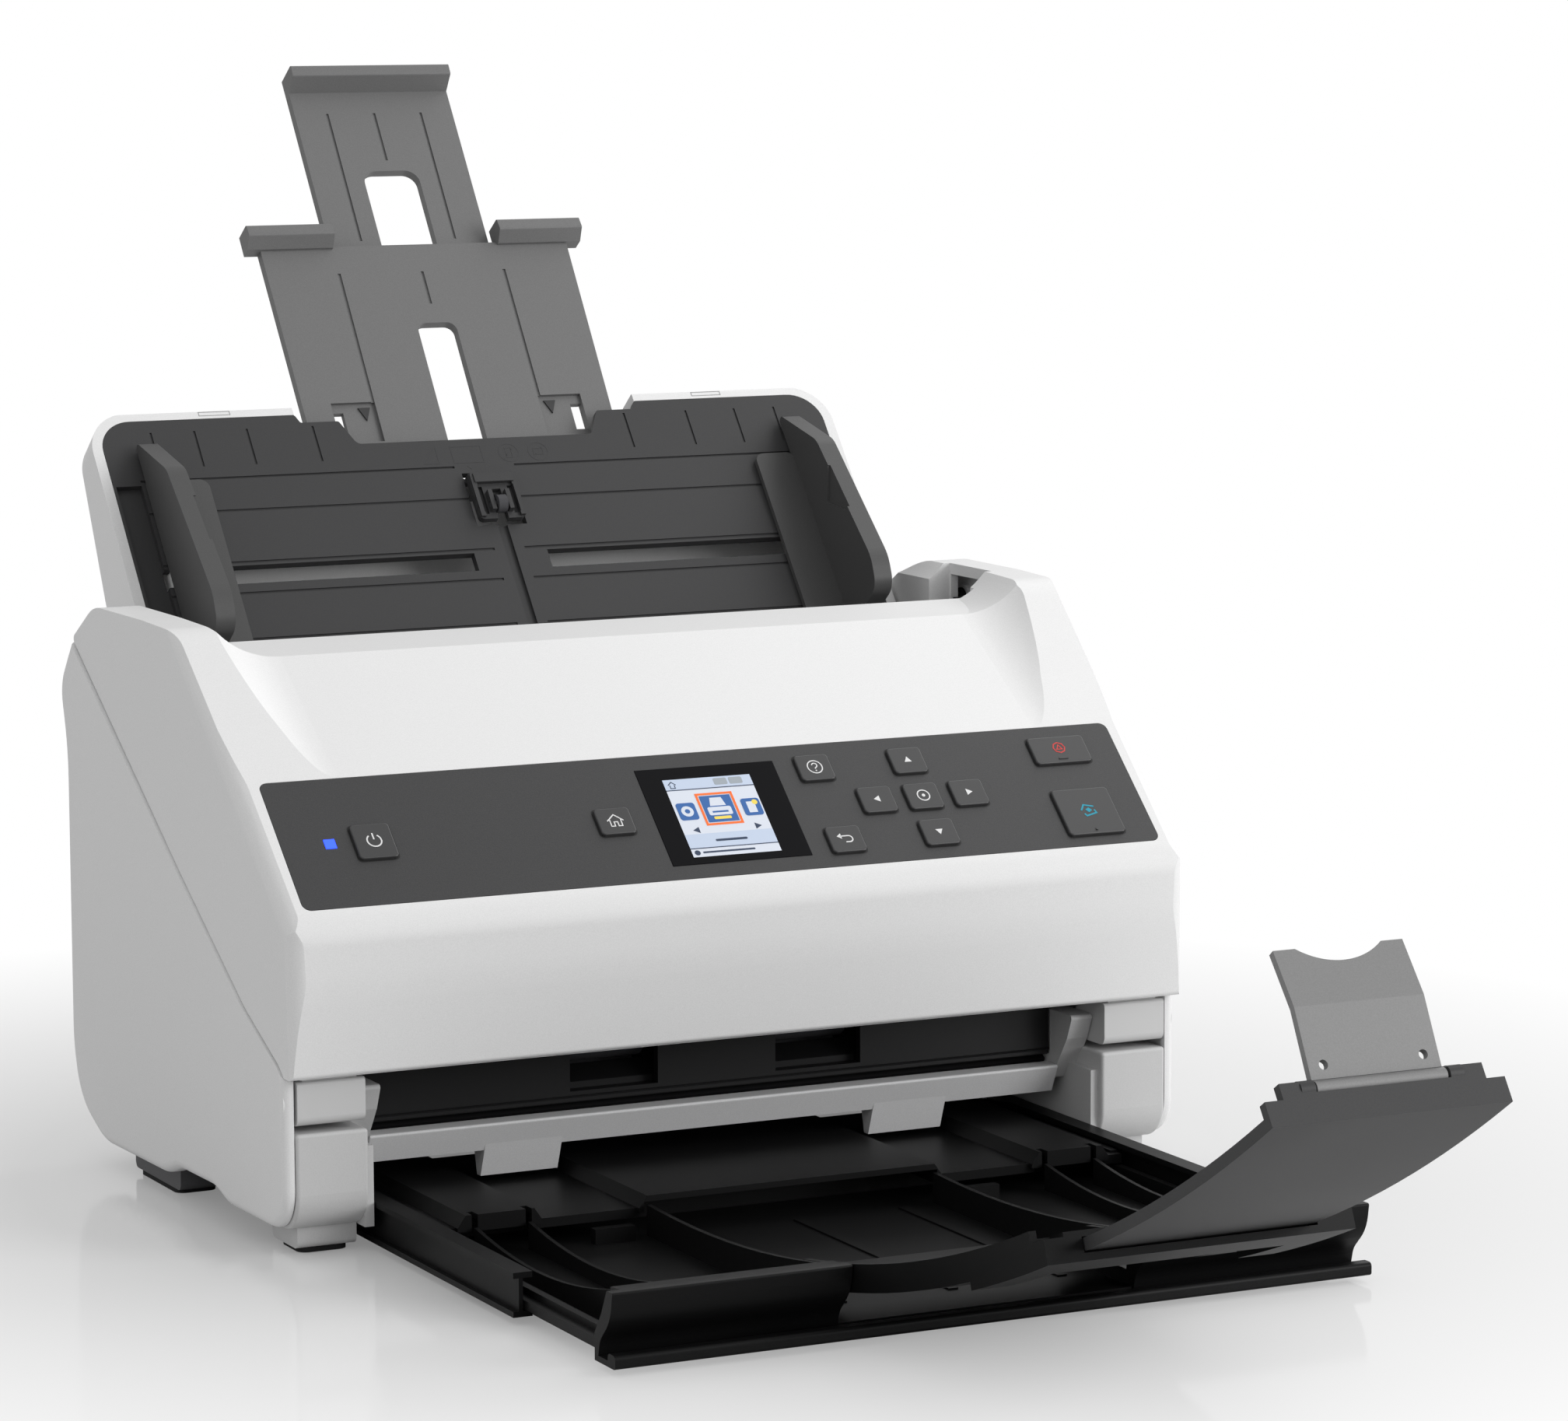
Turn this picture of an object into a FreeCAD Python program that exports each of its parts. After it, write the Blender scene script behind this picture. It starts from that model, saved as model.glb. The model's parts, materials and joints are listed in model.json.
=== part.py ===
"""Sheet fed document scanner, standing on a table with its trays drawn out.

Millimetres, +Z up, +X to the right of someone facing the machine.  Every depth below is counted
back from the front face of the legs; save() then moves the pieces so that the origin lies on the
table, in the middle of the machine with its trays drawn out.
"""
import FreeCAD, Part
import math
import os
from FreeCAD import Vector

os.makedirs("parts", exist_ok=True)

# ---------------------------------------------------------------- driving dimensions
HALF_WIDTH = 144.5           # body, at its rear
FRONT_HALF_WIDTH = 140.6     # body, at the front face of the legs
BODY_DEPTH = 160.0           # over which the sides taper
SKIN = 2.5                   # moulded wall thickness
CORNER = 6.0                 # rounding where the cover's front meets its sides
PANEL_EDGE = 2.6             # rounding round the outer face of a side panel
GAP = 0.4                    # clearance between pieces that move or part
LEG_INNER = 115.7            # legs, distance from the centre line
LEG_OUTER = 137.0
LEG_TOP = 35.4
CHEEK_INNER = 109.3          # cheeks beside the exit opening
COVER_BOTTOM = 51.3
COVER_FRONT = -6.3           # how far the cover bulges ahead of the legs
FLOOR_UNDERSIDE = 24.5       # top of the room kept for the output tray

# control panel, drawn flat: (0, 0) is the middle of its lower edge
PANEL_SLOPE = 42.4
PANEL_FOOT = (-1.2, 97.5)
PANEL_HALF_WIDTH = 134.2
PANEL_LENGTH = 45.2
PANEL_THICKNESS = 2.0
BUTTON_HEIGHT = 1.0          # how far a cap stands above the panel
SCREEN = (-21.7, 22.2, 4.8, 40.1)
LIGHT = (-119.8, 22.3)
SMALL_KEY = (10.8, 9.3)
BUTTONS = {
    "power_button": (-107.2, 21.6, 11.6, 12.0),
    "home_button": (-34.0, 22.0) + SMALL_KEY,
    "help_button": (34.1, 35.9) + SMALL_KEY,
    "back_button": (34.1, 9.1) + SMALL_KEY,
    "up_button": (64.3, 36.0) + SMALL_KEY,
    "left_button": (49.3, 22.5) + SMALL_KEY,
    "ok_button": (64.3, 22.5) + SMALL_KEY,
    "right_button": (79.2, 22.5) + SMALL_KEY,
    "down_button": (64.3, 9.0) + SMALL_KEY,
    "stop_button": (114.8, 35.7, 18.6, 9.9),
    "start_button": (114.8, 12.1, 18.6, 16.9),
}

# fascia above the panel, and the shoulders beside it
FASCIA_FOOT = (32.3, 128.1)
FASCIA_TOP = (76.6, 157.2)
BAND_REAR = (98.6, 159.3)
SHOULDER_TOP = 166.9
SHOULDER_INNER = 121.0
SHOULDER_CURVE = 26.0        # radius of the hollow where a shoulder meets the fascia

# input tray, drawn flat: (0, 0) lies on the paper surface
TRAY_SLOPE = 51.3
TRAY_ORIGIN = (145.0, 150.0)
TRAY_HALF_WIDTH = 124.6
BED_HALF_WIDTH = 121.3
BED_THICKNESS = 2.6
TRAY_FOOT = -6.0
TRAY_TOP = 86.8
SLOT_CENTRE = 27.2
SLOT_HALF = 3.2
GUIDE_INNER = 105.1          # edge guides, set for the widest paper
GUIDE_OUTER = 111.2
RACK_MODULE = 0.8            # teeth of the guides' racks and of the pinion between them
GUIDE_PINION_TEETH = 20
RACK_PITCH_RADIUS = RACK_MODULE * GUIDE_PINION_TEETH / 2
SUPPORT_PIN = (57.0, -1.3)   # paper support, across the top of the centre groove
SUPPORT_PIN_RADIUS = 0.9
SUPPORT_WHEEL = (46.0, 3.0)

# tray extensions, drawn flat: (0, 0) is at the tray's upper rim
EXTENSION_SLOPE = 55.1
EXTENSION_ORIGIN = (202.1, 213.6)
LOWER_HALF_WIDTH = 52.3
UPPER_HALF_WIDTH = 27.2
UPPER_END = 128.4            # far end of the upper extension
UPPER_UNDERSIDE = -6.8

# paper path: a steep run in line with the tray, then a flatter run to the exit
BEND = (86.0, 76.3)
EXIT = (22.0, 30.5)
EXIT_SLOPE = math.degrees(math.atan2(BEND[1] - EXIT[1], BEND[0] - EXIT[0]))
PATH_GAP = 2.0
NIP = 1.0                    # where facing rollers meet, above the lower guide
PATH_HALF_WIDTH = 108.8
GUIDE_SHEET = 2.4
PICKUP_AT = -44.0            # places along the steep run
FEED_AT = -64.0
GLASS_AT = (-78.0, -88.0)
EXIT_AT = 19.7               # place along the flatter run
PICKUP_RADIUS = 12.0
FEED_RADIUS = 10.0
EXIT_RADIUS = 8.0
SEPARATION_RADIUS = 10.0
IDLER_RADIUS = 7.0
ROLLER_GAP = 0.15
SHAFT_RADIUS = 3.0
BORE_RADIUS = 3.06
IDLER_SHAFT_RADIUS = 2.0
SIDE_PLATE = (114.5, 117.5)
GEAR_MODULE = 1.0
FEED_TEETH = 32
PINION_TEETH = 12
MOTOR_DIRECTION = -60.0      # from the feed shaft to the motor shaft
SCREW_CENTRES = [(66.0, 30.0), (145.0, 40.0), (150.0, 112.0)]

# cover hinge
HINGE = (6.5, 43.7)
TRUNNION_END = 138.6
LEVER_PIVOT = (131.0, 155.0)

# output tray
RAIL_OUTER = 113.0
RAIL_INNER = 107.5
RAIL_WEB = (111.4, 110.2)    # outer and inner face
RAIL_FRONT = -92.0
RAIL_REAR = 58.0
PLATE_FRONT = -28.7
FLANGE_FRONT = -151.6
FLANGE_REAR = -140.7
FLANGE_HALF_WIDTH = 111.9
FLANGE_GAP = 44.0
ARC_CENTRE = (-55.0, 511.0)  # the curved pieces all bend about this line
ARC_RIM = 499.0              # top of the curved extension's side walls
ARC_FLOOR = 501.0
EXTENSION_HALF_WIDTH = 43.4
LEAF_HALF_WIDTH = 32.4
LIP_DEPTH = -250.0
LEAF_DEPTH = -337.0
FLAP_HINGE = (-330.5, 97.2)
FLAP_BEND = (-321.7, 114.8)
FLAP_TOP = (-312.2, 126.3)
FLAP_HALF_WIDTH = 17.6


# ---------------------------------------------------------------- drawing helpers
def save(node, shape):
    moved = shape.copy()
    moved.translate(Vector(0, -ORIGIN_DEPTH, 0))
    moved.exportStep("parts/" + node + ".step")


def box(x0, x1, y0, y1, z0, z1):
    return Part.makeBox(x1 - x0, y1 - y0, z1 - z0, Vector(x0, y0, z0))


def mirrored(shape):
    return shape.mirror(Vector(0, 0, 0), Vector(1, 0, 0))


def rod(radius, x0, x1, centre):
    return Part.makeCylinder(radius, x1 - x0, Vector(x0, *centre), Vector(1, 0, 0))


def fuse(shapes):
    return shapes[0].multiFuse(shapes[1:]).removeSplitter()


def cut(shape, tools):
    for tool in tools:
        shape = shape.cut(tool)
    return shape.removeSplitter()


def rounded_wire(corners, to_vector):
    """Closed wire through corners (a, b) or (a, b, radius), with a tangent arc at each radius."""
    count = len(corners)
    points = [to_vector(corner[0], corner[1]) for corner in corners]
    stretches = []
    for i, corner in enumerate(corners):
        here = points[i]
        radius = corner[2] if len(corner) > 2 else 0.0
        if radius == 0.0:
            stretches.append((here, None, here))
            continue
        to_before = (points[i - 1] - here).normalize()
        to_after = (points[(i + 1) % count] - here).normalize()
        half = to_before.getAngle(to_after) / 2
        reach = radius / math.tan(half)
        inward = (to_before + to_after).normalize()
        middle = here + inward * (radius / math.sin(half) - radius)
        stretches.append((here + to_before * reach, middle, here + to_after * reach))
    edges = []
    for i, (start, middle, end) in enumerate(stretches):
        if middle is not None:
            edges.append(Part.Arc(start, middle, end).toShape())
        following = stretches[(i + 1) % count][0]
        if (following - end).Length > 1e-6:
            edges.append(Part.makeLine(end, following))
    return Part.Wire(edges)


def prism(corners, x0, x1):
    """A side-view outline of (depth, height) corners, carried across from x0 to x1."""
    wire = rounded_wire(corners, lambda a, b: Vector(x0, a, b))
    return Part.Face(wire).extrude(Vector(x1 - x0, 0, 0))


def plate(corners, z0, z1):
    """A plan outline of (x, depth) corners, thickened from z0 to z1."""
    wire = rounded_wire(corners, lambda a, b: Vector(a, b, z0))
    return Part.Face(wire).extrude(Vector(0, 0, z1 - z0))


def rounded_box(x0, x1, y0, y1, z0, z1, radius):
    corners = [(x0, y0, radius), (x1, y0, radius), (x1, y1, radius), (x0, y1, radius)]
    return plate(corners, z0, z1)


def beside(line, distance):
    """Copy of an open line of (depth, height) points, moved to the left of its direction."""
    moved = []
    for i, here in enumerate(line):
        normals = []
        for a, b in ((i - 1, i), (i, i + 1)):
            if a >= 0 and b < len(line):
                run, rise = line[b][0] - line[a][0], line[b][1] - line[a][1]
                length = math.hypot(run, rise)
                normals.append((-rise / length, run / length))
        across = (sum(n[0] for n in normals), sum(n[1] for n in normals))
        scale = distance * len(normals) / (across[0] ** 2 + across[1] ** 2)
        moved.append((here[0] + across[0] * scale, here[1] + across[1] * scale))
    return moved


def strip(line, thickness):
    """Outline of a bent sheet lying to the left of a line of points."""
    return list(line) + beside(line, thickness)[::-1]


def on_slope(shape, slope, origin):
    """Tilt a shape drawn flat up to its slope and put its origin at (depth, height)."""
    turned = shape.copy()
    turned.rotate(Vector(0, 0, 0), Vector(1, 0, 0), slope)
    turned.translate(Vector(0, origin[0], origin[1]))
    return turned


def on_panel(shape):
    return on_slope(shape, PANEL_SLOPE, PANEL_FOOT)


def on_tray(shape):
    return on_slope(shape, TRAY_SLOPE, TRAY_ORIGIN)


def on_extension(shape):
    return on_slope(shape, EXTENSION_SLOPE, EXTENSION_ORIGIN)


def slope_point(along, out, slope, origin):
    """Depth and height of a point drawn flat at (along, out)."""
    angle = math.radians(slope)
    return (origin[0] + along * math.cos(angle) - out * math.sin(angle),
            origin[1] + along * math.sin(angle) + out * math.cos(angle))


def steep(along, out):
    return slope_point(along, out, TRAY_SLOPE, TRAY_ORIGIN)


def shallow(along, out):
    return slope_point(along, out, EXIT_SLOPE, EXIT)


def arc_point(radius, degrees):
    """Point below ARC_CENTRE; degrees count forward from straight down."""
    angle = math.radians(degrees)
    return (ARC_CENTRE[0] - radius * math.sin(angle), ARC_CENTRE[1] - radius * math.cos(angle))


def arc_degrees(depth, radius):
    return math.degrees(math.asin((ARC_CENTRE[0] - depth) / radius))


def arc_plate(inner, outer, start, end, x0, x1):
    """Curved sheet between two radii about ARC_CENTRE, from start to end degrees."""
    def at(radius, degrees):
        return Vector(x0, *arc_point(radius, degrees))
    middle = (start + end) / 2
    wire = Part.Wire([
        Part.Arc(at(inner, start), at(inner, middle), at(inner, end)).toShape(),
        Part.makeLine(at(inner, end), at(outer, end)),
        Part.Arc(at(outer, end), at(outer, middle), at(outer, start)).toShape(),
        Part.makeLine(at(outer, start), at(inner, start)),
    ])
    return Part.Face(wire).extrude(Vector(x1 - x0, 0, 0))


PICKUP_CENTRE = steep(PICKUP_AT, NIP - PICKUP_RADIUS - ROLLER_GAP)
FEED_CENTRE = steep(FEED_AT, NIP - FEED_RADIUS - ROLLER_GAP)
EXIT_CENTRE = shallow(EXIT_AT, NIP - EXIT_RADIUS - ROLLER_GAP)
SEPARATION_CENTRE = steep(PICKUP_AT, NIP + SEPARATION_RADIUS + ROLLER_GAP)
FEED_IDLER_CENTRE = steep(FEED_AT, NIP + IDLER_RADIUS + ROLLER_GAP)
EJECT_IDLER_CENTRE = shallow(EXIT_AT, NIP + IDLER_RADIUS + ROLLER_GAP)
GEAR_DISTANCE = GEAR_MODULE * (FEED_TEETH + PINION_TEETH) / 2
MOTOR_CENTRE = (FEED_CENTRE[0] + GEAR_DISTANCE * math.cos(math.radians(MOTOR_DIRECTION)),
                FEED_CENTRE[1] + GEAR_DISTANCE * math.sin(math.radians(MOTOR_DIRECTION)))
HOPPER_NIP = steep(PICKUP_AT + 6, PATH_GAP)
IDLER_BORE_RADIUS = IDLER_SHAFT_RADIUS + BORE_RADIUS - SHAFT_RADIUS
REAR_END = slope_point(UPPER_END, UPPER_UNDERSIDE, EXTENSION_SLOPE, EXTENSION_ORIGIN)[0]
ORIGIN_DEPTH = (LEAF_DEPTH + REAR_END) / 2


# ---------------------------------------------------------------- cover
def cover_silhouette():
    """Side view of the whole cover: fascia, shoulders and the parting line on the base."""
    return [(-4.1, COVER_BOTTOM, 1.5), (-6.2, 76, 80), (-6.0, 93.1, 12), (32.3, 128.1, 80),
            (48.5, 141.4, 30), (76.5, 166.2, 16), (100, SHOULDER_TOP),
            (140, SHOULDER_TOP, 20), (159.0, 155.6, 1.5),
            (76.0, 97.8), (28.5, 66.4, 40), (4.0, 54.2, 12), (1.0, COVER_BOTTOM)]


def cover_cavity():
    """Hollow of the cover; it runs on below the parting line, so the cover is open there."""
    return [(-1.6, COVER_BOTTOM - 1), (-3.7, 76, 80), (-3.5, 92.0, 9.5), (34.0, 126.2),
            (50.0, 139.4, 28), (77.5, 163.6, 13.5), (100, SHOULDER_TOP - SKIN),
            (139.5, SHOULDER_TOP - SKIN, 17.5), (155.5, 155.6), (170, 140), (90, 80), (28.5, 45),
            (1.0, 45)]


def flared_room(half, start, end):
    """Room with sides leaning outwards from a wide curve, its floor running from start to end."""
    flare = [(-half, 0, SHOULDER_CURVE), (half, 0, SHOULDER_CURVE), (half + 90, 90), (-half - 90, 90)]
    section = rounded_wire(flare, lambda x, up: Vector(x, start[0], start[1] + up))
    return Part.Face(section).extrude(Vector(0, end[0] - start[0], end[1] - start[1]))


def hopper_room(grow):
    """Room between the shoulders: above the fascia, and over the foot of the input tray."""
    half = SHOULDER_INNER + grow
    side = [FASCIA_FOOT, FASCIA_TOP, BAND_REAR, (BAND_REAR[0] + 4, BAND_REAR[1] - 9), HOPPER_NIP]
    side = beside(side, -grow) if grow else side
    low = (HOPPER_NIP[0] - grow, HOPPER_NIP[1] - 60)
    room = prism(side + [low, (260, low[1]), (260, 260), (side[0][0], 260)], -half - 60, half + 60)
    over_fascia = flared_room(half, FASCIA_FOOT, FASCIA_TOP)
    over_fascia.translate(Vector(0, 0, -grow))
    over_band = flared_room(half, FASCIA_TOP, (FASCIA_TOP[0] + 200, FASCIA_TOP[1]))
    over_band.translate(Vector(0, 0, -grow))
    return room, over_fascia, over_band


def shoulder_cut(grow):
    """The hopper room, with flared sides beside the fascia and upright sides beside the tray."""
    room, over_fascia, over_band = hopper_room(grow)
    half = SHOULDER_INNER + grow
    over_tray = box(-half - 4.6, half + 4.6, BAND_REAR[0] - 1 - grow, 260, 40, 260)
    return room.common(over_fascia.fuse([over_band, over_tray]))


def half_width_at(depth):
    """Half the width of the body; its sides draw in a little towards the front."""
    return FRONT_HALF_WIDTH + (HALF_WIDTH - FRONT_HALF_WIDTH) * depth / BODY_DEPTH


def taper(inset):
    """Wedges outside the body's sides, moved inwards by the inset."""
    front, rear, wide = -20.0, 180.0, HALF_WIDTH + 10
    corners = [(half_width_at(front) - inset, front), (wide, front), (wide, rear),
               (half_width_at(rear) - inset, rear)]
    wedge = plate(corners, -1, 200)
    return [wedge, mirrored(wedge)]


def rounded_front():
    """Upright room with tapered sides, rounded where they meet the cover's front."""
    front, rear = COVER_FRONT, 180.0
    near, far = half_width_at(front), half_width_at(rear)
    return plate([(-near, front, CORNER), (near, front, CORNER), (far, rear), (-far, rear)], -1, 200)


def rounded_slope():
    """The same rounding carried up along the cover's slope."""
    sections = []
    for along in (-60, 160):
        half = half_width_at(slope_point(along, 0, PANEL_SLOPE, PANEL_FOOT)[0])
        corners = [(-half, -260), (half, -260), (half, 0.35, CORNER), (-half, 0.35, CORNER)]
        sections.append(rounded_wire(
            corners, lambda x, out: Vector(x, *slope_point(along, out, PANEL_SLOPE, PANEL_FOOT))))
    return Part.makeLoft(sections, True, True)


def hinge_block():
    """Block over a leg: carries the trunnion on which the cover turns."""
    corners = [(0.0, 37.5, 2.5), (0.0, 49.9, 1.2), (17, 49.9, 1.2), (17, 43.7), (12.5, 37.5, 6)]
    block = prism(corners, 116.5, 136.5)
    neck = box(118.5, 134.5, 1.5, 15.5, 48.0, COVER_BOTTOM + 2.5)
    return block.fuse([neck, rod(SHAFT_RADIUS, 130, TRUNNION_END, HINGE)])


def cover_shell():
    body = prism(cover_silhouette(), -HALF_WIDTH, HALF_WIDTH)
    body = body.common(rounded_front()).common(rounded_slope())
    body = body.cut(shoulder_cut(0.0))
    cavity = prism(cover_cavity(), -HALF_WIDTH + SKIN, HALF_WIDTH - SKIN)
    cavity = cut(cavity, taper(SKIN) + [shoulder_cut(SKIN), lever_recess(SKIN)])
    body = body.cut(cavity).cut(lever_recess(0.0))
    wide, long = PANEL_HALF_WIDTH + 0.15, PANEL_LENGTH + 0.15
    body = body.cut(on_panel(rounded_box(-wide, wide, -0.15, long, -PANEL_THICKNESS, 6, 2.6)))
    body = body.cut(on_panel(box(-126, 126, 3, PANEL_LENGTH - 3, -9, 1)))
    body = body.cut(box(132, 136.5, 101.5, 126.5, 152.4, 163.5))
    body = body.cut(rod(SEPARATION_RADIUS + 1, -16, 16, SEPARATION_CENTRE))
    lip = box(-LEG_OUTER + 0.1, LEG_OUTER - 0.1, -3.2, 19.6, COVER_BOTTOM, COVER_BOTTOM + 2)
    block = hinge_block()
    boss = rod(4.5, 139.6, HALF_WIDTH - SKIN + 0.5, LEVER_PIVOT)
    body = fuse([body, lip, block, mirrored(block), boss])
    return body.cut(rod(2.06, 139, HALF_WIDTH - SKIN, LEVER_PIVOT))


def lever_recess(grow):
    """Finger recess in the right shoulder, open towards the paper and upwards."""
    low = 151.0 - grow
    return prism([(100.0 - grow, low, 4), (100.0 - grow, 180), (127.0 + grow, 180),
                  (127.0 + grow, low, 4)], 118.0, 133.0 + grow)


def control_panel():
    panel = rounded_box(-PANEL_HALF_WIDTH, PANEL_HALF_WIDTH, 0, PANEL_LENGTH,
                        -PANEL_THICKNESS, 0, 2.5)
    holes = []
    for x, s, width, height in BUTTONS.values():
        wide, high = width / 2 + 0.25, height / 2 + 0.25
        holes.append(rounded_box(x - wide, x + wide, s - high, s + high, -3, 1, 1.4))
    holes.append(box(SCREEN[0], SCREEN[1], SCREEN[2], SCREEN[3], -3, 1))
    holes.append(box(LIGHT[0] - 1.7, LIGHT[0] + 1.7, LIGHT[1] - 1.7, LIGHT[1] + 1.7, -3, 1))
    return on_panel(cut(panel, holes))


def button(x, s, width, height):
    """Key cap with a softly broken edge, and the stem that works its switch."""
    cap = rounded_box(x - width / 2, x + width / 2, s - height / 2, s + height / 2,
                      -1.9, BUTTON_HEIGHT, 1.2)
    top = [edge for edge in cap.Edges if edge.CenterOfMass.z > BUTTON_HEIGHT - 0.01]
    cap = cap.makeFillet(0.4, top)
    stem = Part.makeCylinder(1.5, 2.8, Vector(x, s, -4.5), Vector(0, 0, 1))
    return on_panel(cap.fuse(stem).removeSplitter())


def lcd_display():
    module = box(SCREEN[0] + 0.1, SCREEN[1] - 0.1, SCREEN[2] + 0.1, SCREEN[3] - 0.1, -5.0, 0.15)
    return on_panel(module)


def status_light():
    lens = box(LIGHT[0] - 1.6, LIGHT[0] + 1.6, LIGHT[1] - 1.6, LIGHT[1] + 1.6, -2.0, 0.1)
    pipe = Part.makeCylinder(1.2, 3.5, Vector(LIGHT[0], LIGHT[1], -5), Vector(0, 0, 1))
    return on_panel(lens.fuse(pipe).removeSplitter())


def glass_room(inner, outer, along_grow):
    """Flat block across the paper path at the scan line, between two distances from the path."""
    low, high = min(GLASS_AT) - along_grow, max(GLASS_AT) + along_grow
    return on_tray(box(-PATH_HALF_WIDTH + 1, PATH_HALF_WIDTH - 1, low, high, inner, outer))


def front_paper_guide():
    """Inner face of the cover, from the hopper down to the exit, then up behind the fascia."""
    path = beside([(118.9, 124.2), steep(PICKUP_AT + 6, 0), BEND, EXIT], -PATH_GAP)
    guide = prism(strip(path, -GUIDE_SHEET), -PATH_HALF_WIDTH, PATH_HALF_WIDTH)
    foot = path[-1]
    wall = prism([(19.8, COVER_BOTTOM + 1.9), (19.8, foot[1] + 0.5), (foot[0] + 2, foot[1] + 0.5),
                  (22.4, foot[1] + 4), (22.4, COVER_BOTTOM + 1.9)], -PATH_HALF_WIDTH, PATH_HALF_WIDTH)
    pieces = [guide, wall]
    along_guide = beside(path[1:], -1.0)
    for x in (-107, -64, 61, 104):
        pieces.append(prism(along_guide + [(22, 70), (50, 96), (96, 116), (106, 116)], x, x + 3))
    body = fuse(pieces)
    tools = [glass_room(PATH_GAP - 1, PATH_GAP + 20, 0.1)]
    tools.append(on_tray(box(-104.2, 104.2, min(GLASS_AT) - 3.2, max(GLASS_AT) + 3.2,
                             PATH_GAP + GUIDE_SHEET + 0.05, PATH_GAP + 13.4)))
    tools.append(rod(SEPARATION_RADIUS + 1, -16, 16, SEPARATION_CENTRE))
    for low, high in ((18.7, 46.2), (-46.2, -18.7)):
        tools.append(box(low, high, 10, 24, 35.5, 49))
        tools.append(rod(IDLER_RADIUS + 1, low, high, EJECT_IDLER_CENTRE))
        tools.append(rod(IDLER_RADIUS + 1, low, high, FEED_IDLER_CENTRE))
    for centre in (EJECT_IDLER_CENTRE, FEED_IDLER_CENTRE, SEPARATION_CENTRE):
        tools.append(rod(IDLER_BORE_RADIUS, -120, 120, centre))
    return cut(body, tools)


def front_scan_glass():
    return glass_room(PATH_GAP, PATH_GAP + 1.8, 0.0)


def image_sensor(side):
    """Sensor bar behind a scan glass; side is +1 in the cover and -1 in the base."""
    start = PATH_GAP + 1.9 if side > 0 else 2.0
    low, high = min(GLASS_AT) - 3, max(GLASS_AT) + 3
    near, far = sorted((side * (start + 0.6), side * (start + 11)))
    case = box(-104, 104, low, high, near, far)
    near, far = sorted((side * start, side * (start + 1.5)))
    window = box(-103, 103, min(GLASS_AT) + 2, max(GLASS_AT) - 2, near, far)
    return on_tray(case.fuse(window).removeSplitter())


def front_image_sensor():
    return image_sensor(1)


def roller(centre, radius, shaft_radius, half_length, tyres):
    """Shaft with rubber-faced drums; tyres lists each drum's two ends on the right-hand side."""
    shapes = [rod(shaft_radius, -half_length, half_length, centre)]
    for x0, x1 in tyres:
        drum = rod(radius, x0, x1, centre)
        rims = [edge for edge in drum.Edges if edge.Curve.TypeId == "Part::GeomCircle"]
        shapes.append(drum.makeFillet(0.5, rims))
        if x0 > 0:
            shapes.append(mirrored(shapes[-1]))
    return fuse(shapes)


def separation_roller():
    return roller(SEPARATION_CENTRE, SEPARATION_RADIUS, IDLER_SHAFT_RADIUS, 106, [(-15, 15)])


def feed_idlers():
    return roller(FEED_IDLER_CENTRE, IDLER_RADIUS, IDLER_SHAFT_RADIUS, 106, [(19.5, 45.5)])


def eject_idlers():
    return roller(EJECT_IDLER_CENTRE, IDLER_RADIUS, IDLER_SHAFT_RADIUS, 106, [(19.5, 45.5)])


def cover_lever():
    """Release lever in the right shoulder: finger pad, arm through the slot, hub and pivot pin."""
    pad = prism([(102.0, 153.2, 1.2), (102.0, 156.8, 1.2), (112.0, 156.8), (124.0, 156.0),
                 (124.0, 153.2)], 127.0, 134.0)
    arm = prism([(103.0, 153.6), (103.0, 156.4), (125.0, 156.4), (125.0, 153.6)], 133.0, 139.2)
    tail = prism([(124.0, 153.6), (124.0, 156.4), (131.0, 156.4), (131.0, 153.6)], 136.6, 139.2)
    hub = rod(3.6, 136.6, 139.2, LEVER_PIVOT)
    pin = rod(2.0, 136.6, HALF_WIDTH - SKIN - 0.4, LEVER_PIVOT)
    return fuse([pad, arm, tail, hub, pin])


# ---------------------------------------------------------------- base
def panel_outline(inset):
    """Side view of the base, below the parting line, drawn in by a wall thickness."""
    i = inset
    return [(158.6 - i * 1.6, 154.6 - i * 1.3), (76.0, 97.4 - i * 1.2),
            (28.5, 66.0 - i * 1.1, 40), (4.0, 53.6 - i, 12 - 4 * i), (0.8 + i, 50.4 - i),
            (0.6 + i, 7.8 + i, 12), (42.0, 7.8 + i, 20), (53.0, 11.2 + i, 20),
            (80.0, 11.2 + i, 20), (90.0, 7.8 + i, 20), (139.0, 7.8 + i, 24 - i),
            (158.5 - i, 17.0 + i / 2, 22 - i), (163.8 - i, 34.0, 40), (163.8 - i, 122.0, 60),
            (169.4 - i, 141.0, 12)]


def right_side_panel():
    inner = LEG_OUTER + 0.3
    body = prism(panel_outline(0.0), inner, HALF_WIDTH)
    body = cut(body, taper(0.0))
    rim = [edge for edge in body.Edges
           if edge.CenterOfMass.x > FRONT_HALF_WIDTH - 0.5 and edge.BoundBox.XLength < 5
           and edge.BoundBox.XMin > inner + 1 and edge.CenterOfMass.z < 48]
    body = body.makeFillet(PANEL_EDGE, rim)
    hollow = cut(prism(panel_outline(SKIN), inner - 1, HALF_WIDTH - SKIN), taper(SKIN))
    boss = rod(5.2, inner, FRONT_HALF_WIDTH - 0.5, HINGE)
    posts = [rod(3.5, inner, FRONT_HALF_WIDTH, centre) for centre in SCREW_CENTRES]
    body = fuse([body.cut(hollow), boss] + posts)
    return cut(body, [rod(BORE_RADIUS, inner - 1, TRUNNION_END + 0.3, HINGE)])


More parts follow.
